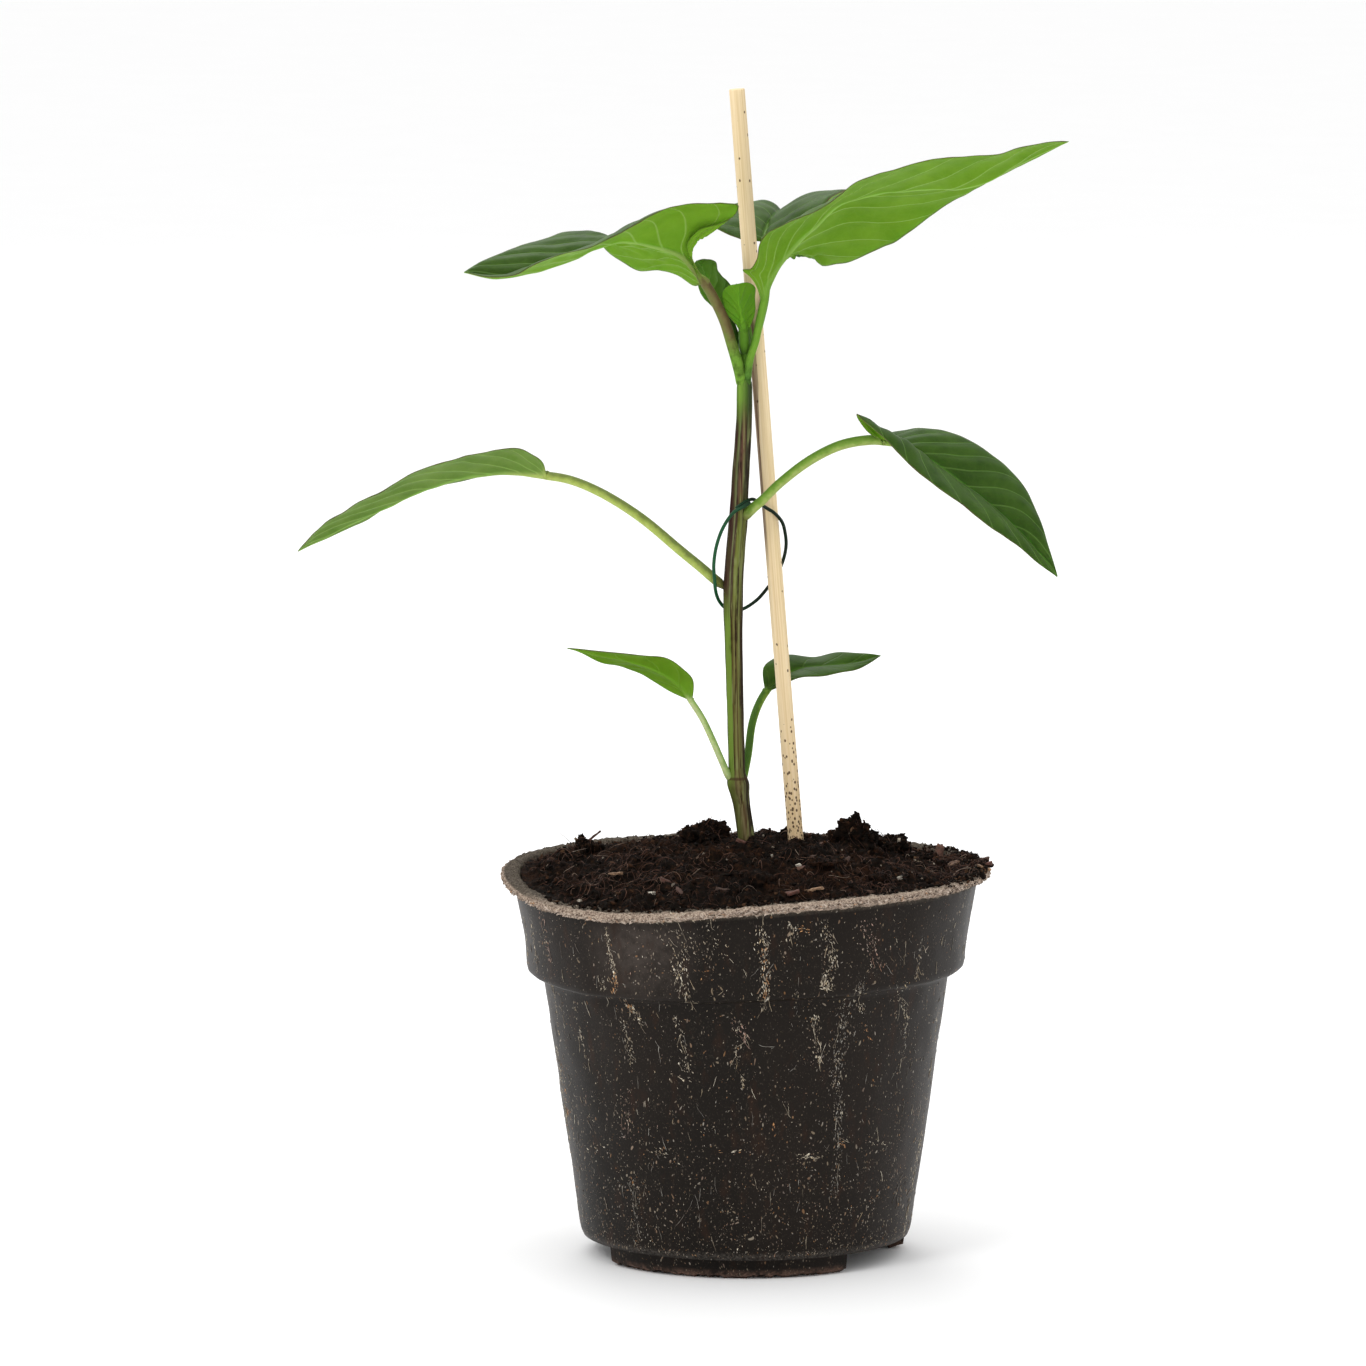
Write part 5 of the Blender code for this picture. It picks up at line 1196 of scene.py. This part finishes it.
def make_leaf(name, leaf, columns=LEAF_COLUMNS, ring_step=RING_STEP):
    """A leaf from the foot of its stalk to the tip of its blade, between its rib and its margins."""
    foot, shank, neck = leaf["radius"]
    line = smooth_line(leaf["stalk"] + leaf["rib"][1:])
    travelled = lengths_along(line)
    start, end = travelled[(len(leaf["stalk"]) - 1) * SPLINE_SAMPLES], travelled[-1]
    u = np.linspace(0, 1, round((end - start) / ring_step) + 1)
    on_stalk = np.arange(0, start - ring_step / 2, ring_step)
    distances = np.concatenate([on_stalk, start + (end - start) * u ** RING_CROWDING])
    along = unit(points_at(line, distances + HEADING_STEP) - points_at(line, np.maximum(distances - HEADING_STEP, 0)))
    side = unit(np.cross(along, (0, 0, 1)))
    face = np.cross(side, along)
    middle = points_at(line, distances)

    # the stalk: round rings, from the left side over the top and back under it
    angles = math.pi - (np.arange(columns) + 0.5) * math.pi / columns
    radii = np.interp(distances, (0, 0.25 * start, start), (foot, shank, neck))
    radii *= STALK_SUNK + (1 - STALK_SUNK) * eased(distances / leaf.get("out", STALK_OUT))
    across = radii[:, None] * np.cos(angles)
    lift = radii[:, None] * np.sin(angles)
    rows = len(on_stalk)
    top = middle[:, None] + across[..., None] * side[:, None] + lift[..., None] * face[:, None]
    low = middle[:, None] + across[..., None] * side[:, None] - lift[..., None] * face[:, None]

    # the blade: each ring runs straight from margin to rib to margin, and is then puffed up
    s = np.linspace(-1, 1, columns)
    v = np.sign(s) * abs(s) ** 1.45
    centre = middle[rows:]
    edges = {}
    for word, sign in (("left", -1), ("right", 1)):
        first = centre[0] + sign * neck * side[rows]
        last = centre[-1] + sign * TIP_HALF_WIDTH * side[-1]
        margin = smooth_line([first, *leaf[word], last])
        edges[sign] = points_at(margin, u * lengths_along(margin)[-1])
    sheet = np.zeros((len(u), columns, 3))
    for j, share in enumerate(v):
        sheet[:, j] = centre + (edges[1 if share > 0 else -1] - centre) * abs(share)
    width = np.where(v[None] > 0, np.linalg.norm(edges[1] - centre, axis=1)[:, None],
                     np.linalg.norm(edges[-1] - centre, axis=1)[:, None])
    d = v[None] * width
    normals = blade_normals(sheet, face[rows])
    uu = u[:, None]
    belly = leaf["belly"] * 4 * abs(v) * (1 - abs(v)) * np.sin(math.pi * uu) ** BELLY_FADE * eased(uu / 0.2)
    phases = np.where(v > 0, WAVE_PHASES[1], WAVE_PHASES[-1])
    wave = leaf["wave"] * v * v * np.sin(2 * math.pi * WAVE_TURNS * uu + phases) * np.sin(math.pi * uu) ** WAVE_FADE
    sheet = sheet + normals * (belly + wave)[..., None]
    normals = blade_normals(sheet, face[rows])

    # side veins leave the rib in turn and bow forward to the margin
    seed = sum(map(ord, name)) % 17
    wobble = 0.16 * np.sin(5 * uu + 2.1 * v + seed) + 0.1 * np.sin(11 * uu - 3.7 * v + 2 * seed)
    sweep = leaf.get("sweep", 0.24)
    vein = leaf["veins"] * (uu ** 0.92 - sweep * abs(v) ** 0.85 * (1 - 0.35 * uu)) + wobble
    rise = np.hypot(np.gradient(vein, axis=0) / np.gradient(distances[rows:])[:, None],
                    np.gradient(vein, axis=1) / np.gradient(d, axis=1))
    spacing = np.minimum(1 / rise, (end - start) / leaf["veins"])
    vein = vein + np.where(v > 0, 0.45, 0.0)
    between = np.sin(math.pi * vein) ** 2
    open_blade = np.minimum(1, width / 10) * eased(uu / 0.15) * eased((1 - uu) / 0.12)
    puff = leaf["quilt"] * between ** 0.8 * abs(v) ** 0.35 * (1 - abs(v) ** 5) * open_blade
    folds = np.array([[noise.fractal(Vector(p) / leaf.get("fold", 9), 1.0, 2.0, 2) for p in row] for row in sheet])
    puff = puff + leaf["quilt"] * 0.9 * folds * open_blade
    for at_u, at_v, reach_u, reach_v, depth, long, wide in leaf.get("crumples", ()):
        area = np.exp(-((uu - at_u) / reach_u) ** 2 - ((v - at_v) / reach_v) ** 2)
        crease = np.array([[noise.fractal(Vector((a * (end - start) / long, b / wide, seed)), 1.0, 2.0, 2)
                            for b in row] for a, row in zip(u, d)])
        puff = puff + depth * area * crease * open_blade
    gutter = 0.4 * np.exp(-(d / (0.9 * neck)) ** 2) * (1 - 0.6 * uu)
    half = 0.5 * (MARGIN_THICKNESS + (BLADE_THICKNESS - MARGIN_THICKNESS) * (1 - abs(v) ** 8))
    rib = neck * (1 - uu) ** RIB_TAPER + 0.22 * (1 - (1 - uu) ** RIB_TAPER)
    rib_depth = np.sqrt(np.clip(rib ** 2 - d ** 2, 0, None))
    dome = np.sqrt(np.clip((neck * 1.02) ** 2 - d ** 2, 0, None)) * (1 - eased(uu / 0.07))
    vein_ridge = 0.16 * np.exp(-((vein - np.round(vein)) / 0.1) ** 2) * (1 - abs(v) ** 2) * open_blade
    vein_ridge = vein_ridge * eased(abs(d) - rib)
    top_rise = puff - gutter * eased(uu / 0.07) + half + dome
    low_drop = np.maximum(half, rib_depth) + vein_ridge - puff
    blade_top = sheet + normals * top_rise[..., None]
    blade_low = sheet - normals * low_drop[..., None]

    blank = np.zeros((rows, columns))
    top = np.concatenate([top[:rows], blade_top])
    low = np.concatenate([low[:rows], blade_low])
    rings = np.concatenate([top, low[:, ::-1]], axis=1)
    wide = np.ones((1, columns))
    fields = {"vein": vein, "across": d, "spread": abs(v) * np.ones_like(uu), "along": uu * wide, "spacing": spacing}
    marks = {word: np.concatenate([blank, values]) for word, values in fields.items()}
    marks = {word: np.concatenate([values, values[:, ::-1]], axis=1) for word, values in marks.items()}
    round_under = np.concatenate([0.5 - 0.5 * np.sin(angles), 0.5 + 0.5 * np.sin(angles)])[None]
    flat_under = np.repeat((0.0, 1.0), columns)[None]
    opened = eased(uu / 0.07)
    marks["under"] = np.concatenate([np.tile(round_under, (rows, 1)), round_under * (1 - opened) + flat_under * opened])
    opened = eased(uu / 0.05)
    run_on = np.exp(-(d / (0.9 * rib)) ** 2) * (1 - eased(uu / leaf.get("run_on", 0.3)))
    blade = np.concatenate([opened * wide, (opened * (1 - run_on))[:, ::-1]], axis=1)
    marks["blade"] = np.concatenate([np.zeros((rows, 2 * columns)), blade])
    dark = np.full(d.shape, leaf.get("dark", 0.0))
    for at_u, at_v, reach_u, reach_v, depth in leaf.get("shadows", ()):
        dark += depth * np.exp(-((uu - at_u) / reach_u) ** 2 - ((v - at_v) / reach_v) ** 2)
    dark = np.concatenate([np.full((rows, columns), leaf.get("dark", 0.0)), np.minimum(dark, 1.4)])
    marks["dark"] = np.concatenate([dark, dark[:, ::-1]], axis=1)
    if "pale_base" in leaf:
        near = (1 - eased((uu - leaf["pale_base"]) / 0.1)) * (v < 0)
        marks["under"][rows:, :columns] = np.maximum(marks["under"][rows:, :columns], near)
    hold, fade = leaf.get("foot_reach", (0, 5.8))
    marks["base"] = np.tile((1 - eased((distances - hold) / fade))[:, None], (1, 2 * columns))
    return skin(name + "_blade", rings, **marks)


def leaf_surface(name, upper, lower, veins, stalk_look, rib_wide=1.0, turned=0.0):
    """A leaf's material: both faces, the rib, the side veins, their fine net and the stalk."""
    made, tree, shader, place = surface(name, 0.4)

    def read(word):
        return node(tree, "Attribute", settings={"attribute_name": word}).node.outputs["Fac"]

    under, blade, spread, along = read("under"), read("blade"), read("spread"), read("along")
    distance = sums(tree, "ABSOLUTE", sums(tree, "WRAP", read("vein"), 0.5, -0.5))
    distance = sums(tree, "MULTIPLY", distance, read("spacing"))
    thin = sums(tree, "MULTIPLY_ADD", spread, -0.17, 0.34)
    line = sums(tree, "SUBTRACT", 1.0, sums(tree, "DIVIDE", distance, thin), clamp=True)
    rib_width = sums(tree, "MULTIPLY", sums(tree, "MULTIPLY_ADD", along, -0.75, 0.95), rib_wide)
    rib = sums(tree, "SUBTRACT", 1.25, sums(tree, "DIVIDE", sums(tree, "ABSOLUTE", read("across")), rib_width),
               clamp=True)
    net = node(tree, "TexVoronoi", place, Scale=430.0, settings={"feature": "DISTANCE_TO_EDGE"})
    net = sums(tree, "SUBTRACT", 1.0, sums(tree, "MULTIPLY", net, 11.0), clamp=True)
    mottle = grain(tree, place, 7, 4, 0.6)
    sides = []
    for (dim, light), pale, share in ((upper, veins[0], 0.5), (lower, veins[1], 0.65)):
        green = ramp(tree, mottle, (0.3, dim), (0.72, light))
        green = mixed(tree, sums(tree, "MULTIPLY", net, 0.04), green, pale)
        green = mixed(tree, sums(tree, "MULTIPLY", line, share), green, pale)
        sides.append(mixed(tree, sums(tree, "MULTIPLY", rib, 0.75), green, pale))
    look = mixed(tree, under, *sides)
    brink = node(tree, "MapRange", spread, 0.972, 0.995, 0.0, 0.8)
    look = mixed(tree, brink, look, ramp(tree, grain(tree, place, 4, 2), (0.35, (0.10, 0.11, 0.04)),
                                         (0.65, (0.085, 0.04, 0.03))))
    top, flank, low, foot = stalk_look
    stripes = grain(tree, place, 1.6, 3, 0.5)
    shade = sums(tree, "ADD", under, sums(tree, "MULTIPLY_ADD", stripes, 0.6, turned - 0.3))
    stalk = ramp(tree, shade, (0.15, top), (0.5, flank), (0.85, low))
    dim_foot, light_foot = (tuple(share * c for c in foot) for share in (0.55, 1.3))
    stalk = mixed(tree, read("base"), stalk, ramp(tree, stripes, (0.35, dim_foot), (0.6, light_foot)))
    look = mixed(tree, sums(tree, "SUBTRACT", 1.0, blade, clamp=True), look, stalk)
    # The dark mark darkens the blade. Over the patches in a leaf's shadows list this is painted shadow; the young left
    # leaf is darkened all over.
    look = mixed(tree, sums(tree, "MULTIPLY", read("dark"), 0.6), look, (0.022, 0.06, 0.008))
    raised = sums(tree, "MULTIPLY", sums(tree, "MAXIMUM", line, sums(tree, "MULTIPLY", net, 0.06)),
                  sums(tree, "MULTIPLY_ADD", under, 2.0, -1.0))
    raised = sums(tree, "MULTIPLY_ADD", grain(tree, place, 0.35, 2), 0.25, raised)
    join(tree, shader, Base_Color=look, Normal=bumps(tree, raised, 0.1),
         Roughness=sums(tree, "MULTIPLY_ADD", under, 0.08, 0.5))
    shader.inputs["Specular IOR Level"].default_value = 0.07
    shader.inputs["Subsurface Weight"].default_value = 0.25
    shader.inputs["Subsurface Radius"].default_value = (0.5, 1.0, 0.15)
    shader.inputs["Subsurface Scale"].default_value = 0.0009
    return made


for name, leaf in LEAVES.items():
    upper = leaf.get("upper", ((0.022, 0.055, 0.005), (0.042, 0.092, 0.010)))
    lower = leaf.get("lower", ((0.105, 0.235, 0.009), (0.15, 0.295, 0.018)))
    lines = ((0.12, 0.23, 0.045), (0.30, 0.46, 0.11)) if "middle" in name or "top" in name else (
        (0.07, 0.13, 0.02), (0.17, 0.32, 0.03))
    green = leaf_surface(name + "_green", upper, lower, lines, leaf["stalk_look"], 0.8, leaf.get("turned", 0))
    finish(make_leaf(name, leaf), green, "leaf", name)

# Growing tip
# Where the plant still grows: a short soft axis with a closed bud between two young leaves, the
# front one turned up so that its bright underside shows.
TIP_AXIS = [(-0.7, 0.4, 220), (-0.4, 0.3, 225), (-0.1, 0.4, 229), (-0.1, 0.4, 232), (-0.3, 0.4, 235.5),
            (-0.6, 0.4, 238), (-0.8, 0.5, 240)]
TIP_GIRTH = [(220, 1.5), (221, 1.6), (224.5, 1.75), (228, 1.5), (231, 1.6), (235, 1.75), (238, 1.5), (239.3, 1.1),
             (240, 0.4)]
BUD_AT = (-0.8, 0.7, 234.5)
BUD_SIZE = (1.2, 1.1, 2.4)
YOUNG_LEAVES = {
    "young_leaf_front": dict(
        stalk=[(-0.3, 0.3, 228), (-0.4, -0.4, 231.5), (-0.5, -1.4, 234.2), (-0.6, -2.1, 236.2)],
        rib=[(-0.6, -2.1, 236.2), (-1, -3.2, 238.5), (-1.5, -4, 241), (-2, -4.5, 243.5), (-2, -4.5, 246.5),
             (-2.5, -4, 248)],
        left=[(1.3, -1.9, 237.8), (2.2, -1.3, 240.3), (2.2, -1, 244.5), (2.1, -1.4, 247), (0.5, -2.6, 248.2)],
        right=[(-2.7, -2.6, 237.6), (-4.9, -3, 240.3), (-6, -3, 244), (-6, -3, 246), (-4.5, -3.5, 247.5)],
        radius=(1.5, 1.65, 1.3), belly=0.4, wave=0.0, veins=6, quilt=0.45, fold=4),
    "young_leaf_left": dict(
        stalk=[(-0.7, 0.6, 229.5), (-2.2, 1.9, 233.5), (-3.5, 3, 237), (-5, 3.5, 239.5)],
        rib=[(-5, 3.5, 239.5), (-6.5, 4.5, 242.5), (-8.5, 5.5, 245.5), (-10, 6, 249), (-11, 6, 251.5),
             (-12.5, 5.5, 253)],
        left=[(-3.5, 1.5, 242.5), (-3.5, 1, 246), (-5, 0.5, 248.5), (-7, 1.5, 250.5), (-8, 3, 253),
              (-10.5, 4.5, 253.5)],
        right=[(-7, 5.5, 239.5), (-9.5, 8, 242), (-12, 9, 245.5), (-13, 8.5, 249.5), (-13.5, 7, 251.5)],
        radius=(0.9, 0.8, 0.7), belly=0.4, wave=0.2, veins=6, quilt=0.8, fold=3, dark=1),
}
young_green = leaf_surface(
    "young_leaf_green", ((0.03, 0.085, 0.008), (0.05, 0.13, 0.014)), ((0.09, 0.24, 0.012), (0.13, 0.29, 0.015)),
    ((0.07, 0.15, 0.02), (0.11, 0.26, 0.015)),
    ((0.035, 0.085, 0.008), (0.06, 0.14, 0.012), (0.08, 0.19, 0.015), (0.03, 0.08, 0.01)), 0.25)
young = [make_leaf(name, leaf, 36, 0.26) for name, leaf in YOUNG_LEAVES.items()]
bpy.ops.object.select_all(action="DESELECT")
bpy.ops.mesh.primitive_uv_sphere_add(segments=32, ring_count=20, radius=MM, location=(0, 0, 0))
bud = bpy.context.object
points = spots(bud) * BUD_SIZE
points[:, :2] *= (1 - 0.35 * np.clip(points[:, 2] / BUD_SIZE[2], 0, 1))[:, None]
points[:, 0] += 0.1 * np.sin(points[:, 2] * 2)
move_to(bud, points + BUD_AT)
line = smooth_line(TIP_AXIS)
turns = np.arange(32) * 2 * math.pi / 32
circle = np.column_stack([np.cos(turns), np.sin(turns), 0 * turns])
lifts = np.linspace(0, lengths_along(line)[-1], 30)
route = points_at(line, lifts)
thick = np.interp(route[:, 2], *np.array(TIP_GIRTH).T)
axis = skin("tip_axis", [c + r * circle for c, r in zip(route, thick)])
for piece in (bud, axis):
    for word in ("vein", "across", "spread", "along", "blade", "dark", "base"):
        mark(piece, word, np.zeros(len(piece.data.vertices)))
    mark(piece, "under", np.clip((spots(piece)[:, 2] - 220) / 18, 0, 1))
    mark(piece, "spacing", np.ones(len(piece.data.vertices)))
bpy.ops.object.select_all(action="DESELECT")
for piece in (*young, bud, axis):
    piece.select_set(True)
bpy.context.view_layer.objects.active = young[0]
bpy.ops.object.join()
tip = bpy.context.object
tip.name = tip.data.name = "growing_tip"
finish(tip, young_green, "young_leaf", "shoot_tip")

# Bamboo stick
# A round split-bamboo stick, cut square at the top and pushed down into the soil, with fine
# lengthwise fibres, a darker line here and there and small specks.
STICK_LOW = Vector((20.1, 8.9, 12.0))
STICK_TOP = Vector((-2.4, 6.0, 296.4))
STICK_RADIUS = 2.0
STICK_SIDES = 64
STICK_STEP = 2.5
run = STICK_TOP - STICK_LOW
turns = np.arange(STICK_SIDES) * 2 * math.pi / STICK_SIDES
side = np.array(run.cross(Vector((0, 1, 0))).normalized())
back = np.cross(np.array(run.normalized()), side)
rings = []
for at in [0, 0.15, 0.3, *np.arange(STICK_STEP, run.length - 1, STICK_STEP), run.length - 0.3, run.length - 0.1, run.length]:
    worn = 0.12 if min(at, run.length - at) < 0.05 else 0.03 if min(at, run.length - at) < 0.2 else 0
    dents = np.array([0.018 * noise.noise(Vector((2.4 * math.cos(t), 2.4 * math.sin(t), at / 40))) for t in turns])
    radii = STICK_RADIUS * (1 + dents - 0.012) - worn
    centre = np.array(STICK_LOW + run * (at / run.length))
    rings.append(centre + radii[:, None] * (np.cos(turns)[:, None] * side + np.sin(turns)[:, None] * back))
stick = skin("stick_body", rings, west=np.tile(np.cos(turns), (len(rings), 1)))
cane, tree, shader, place = surface("split_bamboo", 0.55)
tilt = run.to_track_quat("Z", "Y").inverted().to_euler()
level = node(tree, "Mapping", place, Rotation=tuple(tilt))
fibres = node(tree, "TexNoise", node(tree, "Mapping", level, Scale=(1, 1, 0.012)), Scale=2600.0, Detail=3.0)
broad = node(tree, "TexNoise", node(tree, "Mapping", level, Scale=(1, 1, 0.02)), Scale=500.0, Detail=2.0)
straw = ramp(tree, fibres, (0.3, (0.68, 0.51, 0.28)), (0.5, (0.77, 0.60, 0.36)), (0.7, (0.84, 0.68, 0.45)))
straw = mixed(tree, ramp(tree, broad, (0.6, 0.0), (0.85, 0.25)), straw, (0.52, 0.36, 0.2))
height = node(tree, "SeparateXYZ", place).node.outputs["Z"]
# Painted shadow: a dark brown strip down the stick's west side from 172 to 246 mm up, broken by the fibres and wider
# above 207 mm.
west = node(tree, "Attribute", settings={"attribute_name": "west"}).node.outputs["Fac"]
limit = node(tree, "MapRange", height, 0.207, 0.222, 0.62, 0.15)
shadow_strip = sums(tree, "MULTIPLY", sums(tree, "SUBTRACT", west, sums(tree, "MULTIPLY_ADD", broad, 0.3, limit)), 9.0)
shadow_strip = sums(tree, "MULTIPLY", sums(tree, "ADD", shadow_strip, 1.5, clamp=True), node(tree, "MapRange", height, 0.172, 0.184, 0.0, 1.0))
shadow_strip = sums(tree, "MULTIPLY", shadow_strip, node(tree, "MapRange", height, 0.246, 0.242, 0.0, 1.0))
shadow_fibres = ramp(tree, fibres, (0.38, 0.95), (0.62, 0.6))
straw = mixed(tree, sums(tree, "MULTIPLY", shadow_strip, shadow_fibres), straw, (0.09, 0.04, 0.018))
soiled = node(tree, "MapRange", height, 0.142, 0.104, 0.0, 1.0)
specks = node(tree, "TexVoronoi", node(tree, "Mapping", level, Scale=(1, 1, 0.7)), Scale=1500.0).node
dice = node(tree, "SeparateColor", specks.outputs["Color"])
common = sums(tree, "MULTIPLY_ADD", sums(tree, "POWER", soiled, 1.2), 0.85, 0.03)
dots = sums(tree, "MULTIPLY", sums(tree, "LESS_THAN", dice, common),
            sums(tree, "MULTIPLY", sums(tree, "SUBTRACT", 0.47, specks.outputs["Distance"]), 1 / 0.12, clamp=True))
straw = mixed(tree, sums(tree, "MULTIPLY", soiled, 0.3), straw, (0.46, 0.26, 0.11))
straw = mixed(tree, sums(tree, "MULTIPLY", dots, 0.92), straw, (0.065, 0.03, 0.013))
join(tree, shader, Base_Color=straw, Normal=bumps(tree, fibres, 0.06))
shader.inputs["Specular IOR Level"].default_value = 0.2
finish(stick, cane, "cane", "bamboo_stick")

# Wire clip
# One open ring of wire with a green plastic coat, bent round the stem and the stick. Its cut ends
# lie side by side in front of the stem.
WIRE_RADIUS = 0.45
WIRE_SIDES = 24
WIRE_STEP = 0.35
WIRE_LINE = [(1, -4.5, 192.8), (-0.5, -4.8, 191.7), (-3, -4.8, 190.3), (-5.7, -4.3, 186.5), (-7.5, -3.4, 181.5),
             (-8.2, -2.8, 176.5), (-8, -2, 172.8), (-7.8, -1.4, 170.3), (-7.4, 0.2, 168.3), (-6.6, 2, 166.4),
             (-5.1, 3.3, 164.7), (-3, 4.4, 164), (-0.8, 5.8, 164.2), (2.8, 8.4, 166.2), (5.3, 10, 168.8),
             (7.6, 10.5, 172), (9.4, 10.2, 175.9), (10.2, 9, 180), (9.9, 7.4, 183.7), (9.1, 5.9, 186.5),
             (7.1, 4, 189), (5.1, 2.9, 190.4), (3.9, 1.7, 191.3), (2.9, 0.3, 192.2), (1.7, -1.35, 193.1),
             (0.3, -2.6, 192.9), (-1.1, -3.3, 192.1), (-2.7, -3.5, 191.0)]
line = smooth_line(WIRE_LINE)
total = lengths_along(line)[-1]
steps = np.linspace(0, total, round(total / WIRE_STEP))
route = points_at(line, steps)
ahead = unit(np.gradient(route, axis=0))
side = unit(np.cross(ahead, (0.2, 1, 0.1)))
back = np.cross(side, ahead)
turns = np.arange(WIRE_SIDES) * 2 * math.pi / WIRE_SIDES
ends = np.minimum(steps, total - steps)
radii = WIRE_RADIUS * np.sqrt(np.clip(1 - (1 - np.clip(ends / 0.25, 0, 1)) ** 2 * 0.45, 0, 1))
wheel = np.cos(turns)[None, :, None] * side[:, None] + np.sin(turns)[None, :, None] * back[:, None]
clip = skin("clip_ring", route[:, None] + radii[:, None, None] * wheel)
coat, tree, shader, place = surface("green_coat", 0.3)
# Painted light and shade: the coat is lighter green towards its left (-X) side and near black towards its right.
facing = node(tree, "MapRange", node(tree, "SeparateXYZ", place).node.outputs["X"], -0.006, 0.003, 0.0, 1.0)
tone = ramp(tree, sums(tree, "MULTIPLY_ADD", grain(tree, place, 4, 3), 0.5, sums(tree, "MULTIPLY", facing, 0.6)),
            (0.1, (0.010, 0.085, 0.028)), (0.45, (0.007, 0.05, 0.018)), (0.75, (0.003, 0.014, 0.006)))
join(tree, shader, Base_Color=tone, Normal=bumps(tree, grain(tree, place, 0.5, 2), 0.03))
shader.inputs["Specular IOR Level"].default_value = 0.15
finish(clip, coat, "wire_coat", "tie_ring")
